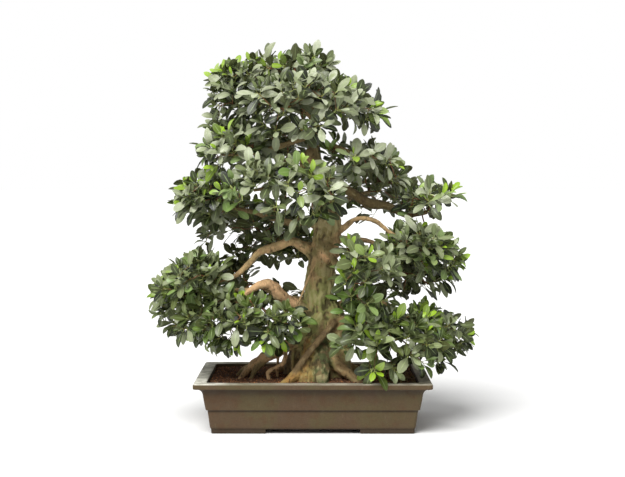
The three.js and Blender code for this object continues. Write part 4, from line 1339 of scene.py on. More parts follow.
# %% Pads
PADS = {
    "crown_top": ("trunk", (-45, -30, 1012), (95, 75, 22)),
    "crown_left": ("crown_left", (-195, -50, 922), (98, 85, 50)),
    "crown_right": ("crown_right", (120, -40, 905), (90, 85, 45)),
    "crown_front": ("crown_front", (-45, -165, 880), (130, 50, 58)),
    "crown_back": ("crown_back", (-45, 145, 925), (122, 62, 52)),
    "upper_left": ("upper_left", (-250, -70, 775), (85, 95, 35)),
    "upper_right": ("upper_right", (165, -50, 762), (105, 90, 38)),
    "front": ("front_left", (-72, -225, 642), (165, 50, 65)),
    "left": ("back_left", (-310, 40, 632), (90, 105, 50)),
    "right": ("big_right", (364, 0, 632), (96, 100, 46)),
    "right_arch": ("arch_right", (305, -85, 500), (85, 75, 45)),
    "right_mid": ("mid_right", (290, 60, 432), (85, 85, 52)),
    "front_right": ("knob", (128, -215, 412), (85, 50, 92)),
    "left_mid": ("mid_left", (-345, -90, 408), (85, 100, 40)),
    "left_low": ("low_left_far", (-385, 0, 350), (60, 90, 40)),
    "left_bottom": ("low_left", (-205, -145, 280), (160, 65, 52)),
    "right_low": ("high_right", (365, 20, 258), (80, 95, 52)),
    "front_low": ("low_right", (205, -185, 222), (142, 60, 82)),
    "back_high": ("back_high", (-100, 215, 760), (80, 55, 45)),
    "back_right": ("back_right", (190, 225, 650), (100, 55, 60)),
    "back_left": ("back_left_low", (-180, 215, 520), (115, 60, 65)),
    "back_left_near": ("back_left_low", (-70, 120, 478), (75, 50, 38)),
    "back_bottom_near": ("back_bottom", (-58, 140, 392), (38, 45, 34)),
    "right_near": ("low_right", (112, -125, 325), (60, 45, 34)),
    "back_low": ("back_low", (185, 215, 400), (90, 55, 45)),
    "back_bottom": ("back_bottom", (-180, 205, 370), (100, 55, 45)),
}
HANGING_PADS = {"left_bottom", "front_low", "left_low"}
print("Pads:", len(PADS))

# %% [markdown]
# ## Where leaves may be
#
# A few more lists keep the whole tree true to its picture from the front: the reach of the crown to the
# left and right at each height and its lower edge, the openings through which the light behind the tree
# shows, and the wood that no leaf hides. All are drawn on one upright plane through the trunk. A leaf in
# front of that plane looks larger and further out than it is, so each place is first seen through the
# camera.

# %% Outline and openings
TRUNK_PLANE = -40

# Across and up, in millimetres at the trunk's plane, from the apex down each side
CROWN_LEFT = [
    (0, 1078), (-60, 1062), (-145, 1055), (-250, 1035), (-300, 1000), (-300, 930), (-310, 860), (-300, 815),
    (-372, 772), (-340, 750), (-310, 730), (-380, 700), (-415, 605), (-330, 560), (-345, 500), (-440, 435),
    (-475, 400), (-465, 310), (-400, 235), (-235, 190),
]
CROWN_RIGHT = [
    (55, 1042), (108, 980), (248, 884), (150, 820), (235, 780), (285, 700), (430, 680), (464, 645),
    (300, 580), (380, 560), (445, 490), (410, 405), (335, 350), (450, 295), (465, 235), (390, 155),
    (340, 140),
]
CROWN_FLOOR = [(200, 110), (110, 130), (60, 210), (-90, 200)]

# Openings in the crown, as (from, to) across and (from, to) up at the trunk's plane
OPENINGS = [
    ((-155, -50), (400, 452)), ((-32, -10), (428, 468)), ((105, 195), (532, 570)),
    ((80, 170), (796, 822)), ((150, 180), (505, 525)), ((285, 385), (565, 590)),
]

# Where the trunk, the bent low limb and the thick right-hand limb show, so that nothing grows before them
SHOWN_WOOD = [
    ((-5, 64), (405, 505)), ((-5, 66), (265, 405)), ((-5, 44), (225, 265)),
    ((-115, -30), (345, 398)), ((75, 125), (665, 690)), ((130, 240), (612, 640)),
]
WOOD_FRONT = 20
OPENING_MARGIN = 20
OUTLINE_MARGIN = 32


def from_front(x, y, z):
    """Where a point shows on the trunk's plane, for an eye at the camera"""
    scale = (TRUNK_PLANE - CAMERA_PLACE[1]) / (y - CAMERA_PLACE[1])
    return CAMERA_PLACE[0] + (x - CAMERA_PLACE[0]) * scale, CAMERA_PLACE[2] + (z - CAMERA_PLACE[2]) * scale


def behind_front(across, up, y):
    """The point at a depth that shows at a place on the trunk's plane"""
    scale = (y - CAMERA_PLACE[1]) / (TRUNK_PLANE - CAMERA_PLACE[1])
    x = CAMERA_PLACE[0] + (across - CAMERA_PLACE[0]) * scale
    return Vector((x, y, CAMERA_PLACE[2] + (up - CAMERA_PLACE[2]) * scale))


crown_edge = [Vector(point) for point in CROWN_LEFT[::-1] + CROWN_RIGHT + CROWN_FLOOR]


def inside_crown(across, up):
    """How deep a place lies inside the crown's outline, in millimetres; below 0 is outside"""
    inside, nearest = False, math.inf
    here = Vector((across, up))
    for first, second in zip(crown_edge, crown_edge[1:] + crown_edge[:1]):
        if (first.y > up) != (second.y > up):
            cut = first.x + (up - first.y) / (second.y - first.y) * (second.x - first.x)
            inside = not inside if across < cut else inside
        side = second - first
        share = clamped((here - first).dot(side) / side.length_squared)
        nearest = min(nearest, (first + side * share - here).length)
    return nearest if inside else -nearest


def leaves_may_be(point, outline_margin=OUTLINE_MARGIN, opening_margin=OPENING_MARGIN):
    """True where a rosette of leaves keeps inside the outline and out of the openings"""
    across, up = from_front(*point)
    if inside_crown(across, up) < outline_margin:
        return False
    for (left, right), (low, high) in OPENINGS + (SHOWN_WOOD if point.y < WOOD_FRONT else []):
        beside = max(left - across, across - right, 0)
        above = max(low - up, up - high, 0)
        if math.hypot(beside, above) < opening_margin:
            return False
    return True


print("Outline:", len(crown_edge), "points; openings:", len(OPENINGS))

# %% [markdown]
# ## The twig tips
#
# Every rosette of leaves sits on a twig tip, so the tips come first. Most lie on the dome of their pad,
# where the light is, and some inside it. They are spread by the golden angle, as seeds are in a sunflower,
# and shaken a little. More tips follow the crown's outline, so that its edge is as ragged as a real one.

# %% Twig tips
TREE_SEED = 7
GOLDEN_ANGLE = 2.39996
TIP_SPACING = 39
TIP_CROWDING = 2.6
TIP_TRIALS = 3
TIP_JITTER = 9
NEAREST_SHARE = 0.6
DOME_SHARE = 0.68
INNER_LEVELS = (-0.75, 0.8)
PAD_GROWTH = 1.12
PAD_THICKNESS = 26
BOX_MARGIN = 34
EDGE_SPACING = 26
EDGE_DEPTH = (30, 50)
EDGE_OUTLINE_MARGIN = 26
EDGE_OPENING_MARGIN = 14
HEIGHT_WEIGHT = 1.3
BACK_PAD_CHARGE = 90

low_corner, high_corner = [in_millimetres(Vector(corner)) for corner in cad_box]


def keep_in_box(point):
    """A point moved inwards, where it lies within a margin of a side of the tree's box"""
    return Vector(
        min(max(value, low + BOX_MARGIN), high - BOX_MARGIN)
        for value, low, high in zip(point, low_corner, high_corner)
    )


def pad_tips(name, draw):
    """Places of the twig tips of one pad, spread over its dome and its inside"""
    limb, middle, reach = PADS[name]
    wide, deep, high = reach[0] * PAD_GROWTH, reach[1] * PAD_GROWTH, reach[2] + PAD_THICKNESS
    count = round(TIP_CROWDING * math.pi * wide * deep / TIP_SPACING**2)
    tips = []
    for number in range(count * TIP_TRIALS):
        share = (number % count + 0.5) / count
        turn = number * GOLDEN_ANGLE
        out = math.sqrt(share)
        lift = math.sqrt(max(1 - out * out, 0))
        level = lift if draw.random() < DOME_SHARE else draw.uniform(*INNER_LEVELS) * lift
        tip = Vector((wide * out * math.cos(turn), deep * out * math.sin(turn), high * level))
        tip = Vector(middle) + tip
        tip += Vector(draw.uniform(-TIP_JITTER, TIP_JITTER) for axis in range(3))
        tip = keep_in_box(tip)
        if not leaves_may_be(tip) or len(tips) >= count:
            continue
        if all((tip - other).length > TIP_SPACING * NEAREST_SHARE for other in tips):
            tips.append(tip)
    return tips


def edge_distance(name, spot):
    """How far a place on the trunk's plane lies from a pad, with a charge for pads at the back"""
    across, up = from_front(*PADS[name][1])
    hidden = BACK_PAD_CHARGE if name.startswith("back") else 0
    return math.hypot(spot.x - across, HEIGHT_WEIGHT * (spot.y - up)) + hidden


def edge_tips():
    """Tips just inside the crown's outline, each for the pad that it is nearest to"""
    draw = random.Random(TREE_SEED)
    tips = {name: [] for name in PADS}
    edge = CROWN_LEFT[::-1] + CROWN_RIGHT
    for first, second in zip(edge, edge[1:]):
        start, side = Vector(first), Vector(second) - Vector(first)
        count = max(1, round(side.length / EDGE_SPACING))
        inward = Vector((side.y, -side.x)).normalized()
        for number in range(count):
            spot = start + side * ((number + draw.random()) / count) + inward * draw.uniform(*EDGE_DEPTH)
            near = min(PADS, key=lambda name: edge_distance(name, spot))
            depth = PADS[near][1][1] + draw.uniform(-0.5, 0.5) * PADS[near][2][1]
            tip = keep_in_box(behind_front(spot.x, spot.y, depth))
            if leaves_may_be(tip, EDGE_OUTLINE_MARGIN, EDGE_OPENING_MARGIN):
                tips[near].append(tip)
    return tips


outer_tips = edge_tips()
print("Tips along the outline:", sum(len(tips) for tips in outer_tips.values()))

# %% [markdown]
# ## Growing the twigs
#
# Every rosette needs a twig that really leads to it, because twigs show in each gap. A pad's twigs are grown
# from the limb outwards: each tip, the nearest first, is joined to whichever twig point gives the shortest
# way, with a small charge for a long way round. That gives forks like those of a real branch. Each point
# counts the tips that it carries, and the more it carries the thicker it is.

# %% Twigs
TWIG_STEP = 11
DETOUR_CHARGE = 0.35
CURVE_REACH = 0.35
TIP_RADIUS = 1.05
PIPE_POWER = 0.42
CARRIED_FROM = 0.45
TRUNK_CARRIED_FROM = 0.9
TRUNK_AT = (10, -40)
# A new twig leaves by these shares of the old one's direction and of the straight way, and this much upwards
OLD_WAY = 0.4
STRAIGHT_WAY = 0.8
UPWARDS = Vector((0, 0, 0.15))
FROM_PAD_SHARE = 0.55
FROM_TRUNK_SHARE = 0.45
HEADING_RISE = 0.5
HANGING_RISE = -0.15
HANGING_BELOW = 0.4
HEADING_JITTER = 0.3
OWN_TIP_DISTANCE = 20


def curved_way(start, leaving, end, arriving):
    """Places every step along a curve that leaves in one direction and arrives in another"""
    length = (end - start).length
    count = max(2, round(length / TWIG_STEP))
    first, second = start + leaving * length * CURVE_REACH, end - arriving * length * CURVE_REACH
    way = []
    for number in range(1, count + 1):
        t = number / count
        u = 1 - t
        way.append(u**3 * start + 3 * u * u * t * first + 3 * u * t * t * second + t**3 * end)
    return way


def away_from_trunk(point):
    """The level direction from the trunk's middle to a point"""
    return Vector((point.x - TRUNK_AT[0], point.y - TRUNK_AT[1], 0)).normalized()


def heading_of(tip, name, draw):
    """The way in which a rosette looks: outwards from its pad and from the trunk, and up or hanging"""
    middle, reach = Vector(PADS[name][1]), Vector(PADS[name][2])
    from_pad = Vector((tip[axis] - middle[axis]) / reach[axis] for axis in range(3))
    hangs = name in HANGING_PADS and tip.z < middle.z + reach.z * HANGING_BELOW
    rise = HANGING_RISE if hangs else HEADING_RISE
    jitter = Vector(draw.uniform(-HEADING_JITTER, HEADING_JITTER) for axis in range(3))
    outwards = FROM_PAD_SHARE * from_pad.normalized() + FROM_TRUNK_SHARE * away_from_trunk(tip)
    return (outwards + Vector((0, 0, rise)) + jitter).normalized()


class Twigs:
    """The twigs of one pad: points, the point that each grows from, and the tips that each carries"""

    def __init__(self, limb):
        frames = limb_frames[limb]
        first = round(len(frames) * (TRUNK_CARRIED_FROM if limb == "trunk" else CARRIED_FROM))
        self.points = [sample[0] for sample in frames[first:]]
        self.directions = [sample[2] for sample in frames[first:]]
        self.parents = [None] * len(self.points)
        self.ways = [0.0] * len(self.points)
        self.loads = [0] * len(self.points)

    def reach_tip(self, tip, heading):
        """Grow a way to a tip from the best point there is"""
        parent = min(
            range(len(self.points)),
            key=lambda number: (tip - self.points[number]).length + DETOUR_CHARGE * self.ways[number],
        )
        straight = (tip - self.points[parent]).normalized()
        leaving = (self.directions[parent] * OLD_WAY + straight * STRAIGHT_WAY + UPWARDS).normalized()
        for spot in curved_way(self.points[parent], leaving, tip, heading):
            self.points.append(spot)
            self.parents.append(parent)
            self.ways.append(self.ways[parent] + (spot - self.points[parent]).length)
            self.directions.append((spot - self.points[parent]).normalized())
            self.loads.append(0)
            parent = len(self.points) - 1
        while parent is not None:
            self.loads[parent] += 1
            parent = self.parents[parent]

    def chains(self):
        """Every twig from its fork to its tip, as (place, radius) samples"""
        children = {}
        for number, parent in enumerate(self.parents):
            if parent is not None:
                children.setdefault(parent, []).append(number)
        chains = []
        for fork, grown in children.items():
            grown.sort(key=lambda number: -self.loads[number])
            on_limb = self.parents[fork] is None
            for number in grown if on_limb else grown[1:]:
                chain = [(self.points[fork], self.radius(number))]
                while number is not None:
                    chain.append((self.points[number], self.radius(number)))
                    after = children.get(number)
                    number = max(after, key=lambda other: self.loads[other]) if after else None
                chains.append(chain)
        return chains

    def radius(self, number):
        """How thick a twig is at one of its points"""
        return TIP_RADIUS * max(self.loads[number], 1) ** PIPE_POWER


def grow_pad(name, more_tips):
    """Grow one pad: its twigs, and its tips with the way each rosette looks"""
    draw = random.Random(f"{TREE_SEED} {name}")
    tips = pad_tips(name, draw)
    tips += [tip for tip in more_tips if all((tip - other).length > OWN_TIP_DISTANCE for other in tips)]
    twigs = Twigs(PADS[name][0])
    root = twigs.points[0]
    tips.sort(key=lambda tip: (tip - root).length)
    headed = [(tip, heading_of(tip, name, draw)) for tip in tips]
    for tip, heading in headed:
        twigs.reach_tip(tip, heading)
    return twigs, headed


grown = {name: grow_pad(name, outer_tips[name]) for name in PADS}
print("Tips:", sum(len(headed) for twigs, headed in grown.values()))

# %% [markdown]
# ## Twigs from lines
#
# The grown twigs are only lines with a thickness at each point. A recipe turns the lines into curves and
# sweeps a small circle along them, so the whole net of twigs is one step for each pad. Their bark is reddish
# brown, and green at the youngest ends.

# %% Twig recipe
TWIG_SIDES = 6
YOUTH_FADE = 1.2
TWIG_RED = colour(128, 82, 52)
TWIG_GREY = colour(112, 92, 66)
TWIG_GREEN = colour(132, 130, 66)


def twig_recipe():
    """Round twigs along lines, as thick as the thickness attribute says"""
    tree, given = new_recipe("twigs", {"Thickness factor": "float", "Sides": "int", "Finish": "material"})
    lines = add(tree, "GeometryNodeMeshToCurve", {"Mesh": given["Geometry"]})
    circle = add(tree, "GeometryNodeCurvePrimitiveCircle", {"Resolution": given["Sides"], "Radius": 1.0})
    thickness = maths(tree, "MULTIPLY", named(tree, "thickness"), given["Thickness factor"])
    swept = add(tree, "GeometryNodeCurveToMesh", {
        "Curve": lines, "Profile Curve": circle, "Scale": thickness, "Fill Caps": True,
    })
    finish_recipe(tree, swept, given["Finish"])
    return tree


def paint_twigs():
    """Thin reddish-brown bark that turns green at the youngest ends"""
    made, tree, shader, where = new_material("twig_bark")
    youth = attribute(tree, "youth")
    cloud = grain(tree, where, 60, 4)
    fine = grain(tree, where, 600, 4, 0.65)
    body = stained(tree, TWIG_RED, TWIG_GREY, cloud, 0.42, 0.6)
    body = stained(tree, body, TWIG_GREEN, youth, 0.6, 1.0, 0.7)
    body = stained(tree, body, BARK_CRACK_AND_SHADE, fine, 0.5, 0.68, 0.4)
    feed(tree, body, shader.inputs["Base Color"])
    shader.inputs["Roughness"].default_value = 0.7
    shader.inputs["Specular IOR Level"].default_value = 0.4
    relief(tree, shader, [(fine, 0.0004)])
    return made


def twig_lines(name, chains):
    """An object of lines through the chains, with their thickness and youth"""
    points, edges, thickness, youth = [], [], [], []
    for chain in chains:
        edges += [(len(points) + step, len(points) + step + 1) for step in range(len(chain) - 1)]
        points += [spot for spot, radius in chain]
        thickness += [radius * MM for spot, radius in chain]
        youth += [max(0.0, 1 - (radius - TIP_RADIUS) / YOUTH_FADE) * step / (len(chain) - 1)
                  for step, (spot, radius) in enumerate(chain)]
    made = new_object(name, points, edges=edges)
    write(made.data, "thickness", thickness)
    write(made.data, "youth", youth)
    return made


twigs_from_lines = twig_recipe()
twig_finish = paint_twigs()


def sweep(piece, sides=TWIG_SIDES):
    """Turn an object of lines into round twigs"""
    cook(piece, twigs_from_lines, {"Thickness factor": 1.0, "Sides": sides, "Finish": twig_finish})
    piece.data.shade_smooth()
    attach(piece, "root")


for name, (twigs, headed) in grown.items():
    sweep(twig_lines(f"twigs_{name}", twigs.chains()))

# %% [markdown]
# ## Bare twigs and root fibres
#
# Two bare twigs hang from the thick limb on the right, and a mat of dry root fibres lies on the soil in the
# right-hand front corner. Both are lines with a thickness too, so the same recipe makes them. A fibre
# wanders: after each short step it turns a little at random, and it rises in a low arch over the grains.

# %% Bare twigs and root fibres
BARE_TWIGS = [
    [(265, 14, 592, 2.4), (269, 13, 576, 2.1), (267, 12, 560, 1.8), (273, 12, 544, 1.5)],
    [(310, 9, 594, 2.4), (316, 8, 570, 2.1), (331, 6, 540, 1.8), (348, 4, 508, 1.4)],
]
FIBRE_SEED = 3
FIBRE_COUNT = 90
FIBRE_RADIUS = 0.75
FIBRE_SIDES = 5
FIBRE_STEPS = 4
FIBRE_STEP = 8
FIBRE_BEND = 0.7
FIBRE_LIFT = (2, 11)
# Where the fibres start, across and back, and how far past that they may wander
FIBRE_MAT = ((214, 280), (-150, 40))
FIBRE_BOUNDS = ((204, 283), (-160, 50))


def fibre(draw):
    """One fibre that wanders over the soil, as (place, radius) samples"""
    x, y = [draw.uniform(*side) for side in FIBRE_MAT]
    turn, lift = draw.uniform(0, 2 * math.pi), draw.uniform(*FIBRE_LIFT)
    way = []
    for step in range(FIBRE_STEPS + 1):
        height = soil_height(x, y) + lift * math.sin(math.pi * step / FIBRE_STEPS)
        way.append((Vector((x, y, height)), FIBRE_RADIUS * draw.uniform(0.7, 1.3)))
        turn += draw.uniform(-FIBRE_BEND, FIBRE_BEND)
        x = min(max(x + FIBRE_STEP * math.cos(turn), FIBRE_BOUNDS[0][0]), FIBRE_BOUNDS[0][1])
        y = min(max(y + FIBRE_STEP * math.sin(turn), FIBRE_BOUNDS[1][0]), FIBRE_BOUNDS[1][1])
    return way


sweep(twig_lines("hanging_twigs", [through(points, TWIG_STEP) for points in BARE_TWIGS]))
fibre_draw = random.Random(FIBRE_SEED)
sweep(twig_lines("root_fibres", [fibre(fibre_draw) for number in range(FIBRE_COUNT)]), FIBRE_SIDES)
print("Bare twigs:", len(BARE_TWIGS), "fibres:", FIBRE_COUNT)

# %% [markdown]
# ## One leaf
#
# A ficus leaf is thick and smooth: widest past its middle, blunt at the tip, folded a little along a pale
# midrib and arched along its length, on a short stalk. It is a closed thin solid of a few dozen faces,
# because there will be thousands. Four leaves with different folds and curls are enough, since each one
# is turned and sized at random. Every point knows how far along and across the leaf it lies, for the finish.

# %% Leaf shapes
# A leaf is one unit long, and its other sizes are shares of that
STALK_SHARE = 0.2
STALK_HALF = 0.016
LEAF_THICKNESS = 0.016
TIP_HALF = 0.006
TIP_THINNING = 0.55
BLADE_RISE = 0.012
STALK_DEPTH = 1.4
ARCH_HEIGHT = 0.25
ARCH_PULL = 0.04
CURL_DROP = 0.6
STALK_START = -0.2
CRISP_ANGLE = 80
BLADE_STEPS = [0.03, 0.15, 0.36, 0.62, 0.84, 0.95, 1.0]
ACROSS_RING = (-1, -0.5, 0, 0.5, 1, 0)
UNDERSIDE = 5
LEAF_FORMS = [
    {"half_width": 0.190, "fold": 0.20, "arch": 0.24, "curl": 0.08},
    {"half_width": 0.205, "fold": 0.10, "arch": 0.14, "curl": -0.06},
    {"half_width": 0.175, "fold": 0.34, "arch": 0.34, "curl": 0.14},
    {"half_width": 0.215, "fold": 0.06, "arch": 0.05, "curl": 0.02},
]


def blade_width(share):
    """Half the width of the blade at a share of its length, as a share of its widest"""
    return max(math.sin(math.pi * share**1.2), 0) ** 0.62 if share < 1 else 0.0


def leaf_ring(y, half, height, fold, thick):
    """Six points round a cross-section of the leaf: two margins, three above and one below"""
    side_drop = half * fold
    ring = [
        (half, y, height + side_drop), (half * 0.5, y, height + side_drop * 0.42 + thick * 0.5),
        (0, y, height + thick * 0.12), (-half * 0.5, y, height + side_drop * 0.42 + thick * 0.5),
        (-half, y, height + side_drop), (0, y, height - thick),
    ]
    return [Vector(point) for point in ring]


def make_leaf(name, form, collection):
    """A closed leaf, one unit long from the foot of its stalk to its tip, along Y with its face up"""
    rings = [leaf_ring(0, STALK_HALF, 0, 0.0, STALK_HALF * STALK_DEPTH)]
    for share in BLADE_STEPS:
        y = STALK_SHARE + (1 - STALK_SHARE) * share
        half = max(form["half_width"] * blade_width(share), TIP_HALF)
        rise = form["arch"] * ARCH_HEIGHT * (1 - (2 * share - 1) ** 2) - form["curl"] * share**2 * CURL_DROP
        thick = LEAF_THICKNESS * (TIP_THINNING if share == 1.0 else 1.0)
        pulled_in = ARCH_PULL * form["arch"] * share
        rings.append(leaf_ring(y - pulled_in, half, BLADE_RISE + rise, form["fold"], thick))
    points, faces = skin(rings)
    mesh = bpy.data.meshes.new(name)
    mesh.from_pydata(points, [], faces)
    shape = bmesh.new()
    shape.from_mesh(mesh)
    bmesh.ops.recalc_face_normals(shape, faces=shape.faces[:])
    shape.to_mesh(mesh)
    shape.free()
    width = len(ACROSS_RING)
    under = [any(corner % width == UNDERSIDE for corner in face.vertices) for face in mesh.polygons]
    lengthwise = [(point.y - STALK_SHARE) / (1 - STALK_SHARE) for point in points]
    write(mesh, "leaf_along", [max(value, STALK_START) for value in lengthwise])
    write(mesh, "leaf_across", [ACROSS_RING[number % width] for number in range(len(points))])
    write(mesh, "leaf_under", [float(below) for below in under], domain="FACE")
    leaf = bpy.data.objects.new(name, mesh)
    smooth_by_angle(leaf, CRISP_ANGLE)
    collection.objects.link(leaf)
    return leaf


leaf_shapes = bpy.data.collections.new("leaf_shapes")
bpy.context.scene.collection.children.link(leaf_shapes)
for number, form in enumerate(LEAF_FORMS):
    leaf = make_leaf(f"leaf_{number}", form, leaf_shapes)
    print(leaf.name, "has", len(leaf.data.polygons), "faces")

# %% [markdown]
# ## Rosettes of leaves
#
# At each tip five to seven leaves stand in a spiral, each a golden angle of 137.5 degrees round from the
# one before, so that none shades the next. The oldest leaf is lowest and leans out most. A recipe repeats
# each tip once for each of its leaves, turns the copies round the tip's heading, lets their faces look to
# the light, and puts one of the leaf shapes on each.

# %% Rosette recipe
LEAF_LENGTH = 0.058
OUTER_LEAN = 1.42
INNER_LEAN = 0.42
LEAF_DROOP = 0.28
NODE_SPACING = 0.0036
LEAF_SEED = 5
LEAN_JITTER = 0.24
TURN_JITTER = 0.3
# Leaves turn their faces to the light and along the tip's heading, by these shares and this much at random
LIGHT_SHARE = 0.75
HEADING_SHARE = 0.35
FACE_JITTER = 0.4
# Sizes of the oldest and the youngest leaf, and how much leaves of one age differ
OLDEST_SIZE = 1.06
YOUNGEST_SIZE = 0.62
SIZE_SPREAD = (0.8, 1.16)
ANY_DIRECTION = (0.31, 0.2, 0.93)


def rosette_recipe():
    """Leaves in a golden-angle spiral round each point's heading"""
    tree, given = new_recipe("rosettes", {
        "Leaf shapes": "collection", "Leaf length": "float", "Spiral angle": "float",
        "Outer lean": "float", "Inner lean": "float", "Droop": "float", "Node spacing": "float",
        "Seed": "int", "Finish": "material",
    })
    tips = add(tree, "GeometryNodeMeshToPoints", {"Mesh": given["Geometry"]})
    repeat = add(tree, "GeometryNodeDuplicateElements",
                 {"Geometry": tips, "Amount": named(tree, "leaf_count", "INT")}, domain="POINT").node
    number = repeat.outputs["Duplicate Index"]
    heading = named(tree, "heading", "FLOAT_VECTOR")
    light = named(tree, "light", "FLOAT_VECTOR")
    last = maths(tree, "SUBTRACT", named(tree, "leaf_count", "INT"), 1.0)
    share = maths(tree, "DIVIDE", number, last)

    lean = maths(tree, "ADD", between(tree, share, given["Outer lean"], given["Inner lean"]),
                 chance(tree, -LEAN_JITTER, LEAN_JITTER, 21))
    turn = maths(tree, "MULTIPLY_ADD", number, given["Spiral angle"], named(tree, "turn"))
    turn = maths(tree, "ADD", turn, chance(tree, -TURN_JITTER, TURN_JITTER, 22))
    side = vectors(tree, "NORMALIZE", vectors(tree, "CROSS_PRODUCT", heading, ANY_DIRECTION))
    direction = add(tree, "ShaderNodeVectorRotate", {"Vector": heading, "Axis": side, "Angle": lean})
    direction = add(tree, "ShaderNodeVectorRotate", {"Vector": direction, "Axis": heading, "Angle": turn})
    age = maths(tree, "SUBTRACT", 1.0, share)
    sag = maths(tree, "MULTIPLY", maths(tree, "MULTIPLY", age, given["Droop"]), -1.0)
    sag = add(tree, "ShaderNodeCombineXYZ", {2: sag})
    direction = vectors(tree, "NORMALIZE", vectors(tree, "ADD", direction, sag))
    wobble = chance_vector(tree, (-FACE_JITTER,) * 3, (FACE_JITTER,) * 3, 23)
    facing = vectors(tree, "ADD", scaled(tree, light, LIGHT_SHARE), scaled(tree, heading, HEADING_SHARE))
    facing = vectors(tree, "ADD", facing, wobble)
    rotation = add(tree, "FunctionNodeAxesToRotation", {"Primary Axis": direction, "Secondary Axis": facing},
                   primary_axis="Y", secondary_axis="Z")

    back = maths(tree, "MULTIPLY", maths(tree, "SUBTRACT", last, number), given["Node spacing"])
    back = maths(tree, "MULTIPLY", back, -1.0)
    lowered = add(tree, "GeometryNodeSetPosition",
                  {"Geometry": repeat.outputs[0], "Offset": scaled(tree, heading, back)})
    size = between(tree, maths(tree, "POWER", share, 2.0), OLDEST_SIZE, YOUNGEST_SIZE)
    size = maths(tree, "MULTIPLY", size, chance(tree, *SIZE_SPREAD, 24))
    longest = maths(tree, "MULTIPLY", given["Leaf length"], named(tree, "vigour"))
    size = maths(tree, "MULTIPLY", longest, size)
    pick = add(tree, "FunctionNodeRandomValue", {4: 0, 5: len(LEAF_FORMS) - 1, "Seed": given["Seed"]},
               output=2, data_type="INT")
    shapes = add(tree, "GeometryNodeCollectionInfo",
                 {"Collection": given["Leaf shapes"], "Separate Children": True, "Reset Children": True})
    leaves = add(tree, "GeometryNodeInstanceOnPoints", {
        "Points": lowered, "Instance": shapes, "Pick Instance": True, "Instance Index": pick,
        "Rotation": rotation, "Scale": size,
    })
    leaves = labelled(tree, leaves, "leaf_tint", chance(tree, 0.0, 1.0, 25))
    finish_recipe(tree, labelled(tree, leaves, "leaf_share", share), given["Finish"])
    return tree


print("Rosette recipe ready")

# %% [markdown]
# ## The leaf's finish
#
# Old leaves get a painted grey-green sheen that stands for the sky's reflection, others are a deep green,
# and the young ones at the ends of the shoots are yellow-green. Each leaf carries a random number for its
# tint and its place in the rosette, and each rosette has its own youth and its share of painted sheen. The
# underside is a dull olive, and the midrib and the stalk are pale.

# %% Leaf finish
# Grey-green of a painted sky reflection, laid on the leaves as colour
LEAF_PAINTED_SHEEN = colour(188, 193, 166)
LEAF_MID = colour(92, 103, 50)
LEAF_DEEP = colour(16, 23, 9)
LEAF_FRESH = colour(106, 138, 56)
LEAF_YOUNG = colour(150, 184, 44)
LEAF_UNDER = colour(78, 82, 38)
LEAF_RIB = colour(160, 180, 122)
LEAF_STALK = colour(158, 168, 96)


def paint_leaves():
    """Satin leaves with a painted sky sheen, toned leaf by leaf and rosette by rosette"""
    made, tree, shader, where = new_material("ficus_leaf")
    tint, share, bloom = [attribute(tree, label) for label in ("leaf_tint", "leaf_share", "bloom")]
    youth, fresh = [attribute(tree, label) for label in ("tip_youth", "fresh")]
    lengthwise, across = [attribute(tree, label) for label in ("leaf_along", "leaf_across")]
    under = attribute(tree, "leaf_under")
    cloud = grain(tree, where, 90, 3)

    body = stained(tree, LEAF_DEEP, LEAF_MID, tint, 0.08, 0.66)
    # Painted sky reflection: the grey-green sheen is laid on as colour, most on the upper crown
    painted_sheen_share = maths(tree, "MULTIPLY", fade(tree, tint, 0.15, 0.85), bloom)
    body = tinted(tree, painted_sheen_share, body, LEAF_PAINTED_SHEEN)
    body = stained(tree, body, LEAF_MID, cloud, 0.35, 0.65, 0.25)
    body = tinted(tree, maths(tree, "MULTIPLY", fresh, fade(tree, tint, 0.0, 0.8)), body, LEAF_FRESH)
    young = maths(tree, "MULTIPLY", fade(tree, share, 0.35, 1.0), youth)
    body = tinted(tree, young, body, LEAF_YOUNG)
    rib = fade(tree, maths(tree, "ABSOLUTE", across), 0.14, 0.03)
    rib = maths(tree, "MULTIPLY", rib, fade(tree, lengthwise, 1.0, 0.5))
    body = tinted(tree, maths(tree, "MULTIPLY", rib, 0.6), body, LEAF_RIB)
    back = tinted(tree, maths(tree, "MULTIPLY", rib, 0.4), LEAF_UNDER, LEAF_RIB)
    body = tinted(tree, maths(tree, "MULTIPLY", under, 0.8), body, back)
    body = stained(tree, body, LEAF_STALK, lengthwise, 0.03, -0.02)
    feed(tree, body, shader.inputs["Base Color"])
    rough = between(tree, under, 0.38, 0.62)
    feed(tree, rough, shader.inputs["Roughness"])
    shader.inputs["Specular IOR Level"].default_value = 0.5
    veins = grain(tree, where, 260, 3)
    relief(tree, shader, [(veins, 0.0005)])
    return made


leaf_finish = paint_leaves()
print("Leaf finish ready")

# %% [markdown]
# ## The leaves on the tree
#
# What a rosette needs to know is written on its tip: its heading, where its light comes from, how many
# leaves it has and how vigorous it is, how much painted sky sheen its leaves get and whether they are new.
# The upper crown gets the most painted sheen, so that it looks lit from above. New leaves come at the
# outside and, most of all, in a few places that are just in flush.

# %% Leaves on the tree
LEAF_COUNTS = (5, 5, 6, 6, 7, 7)
VIGOUR = (0.82, 1.12)
# Light comes from the front for all leaves but the ones far back, and from above for all
FRONT_LIGHT = -0.6
BACK_LIGHT = 0.4
TOP_LIGHT = 0.7
OUTER_LIGHT = 0.35
BACK_FROM = 110
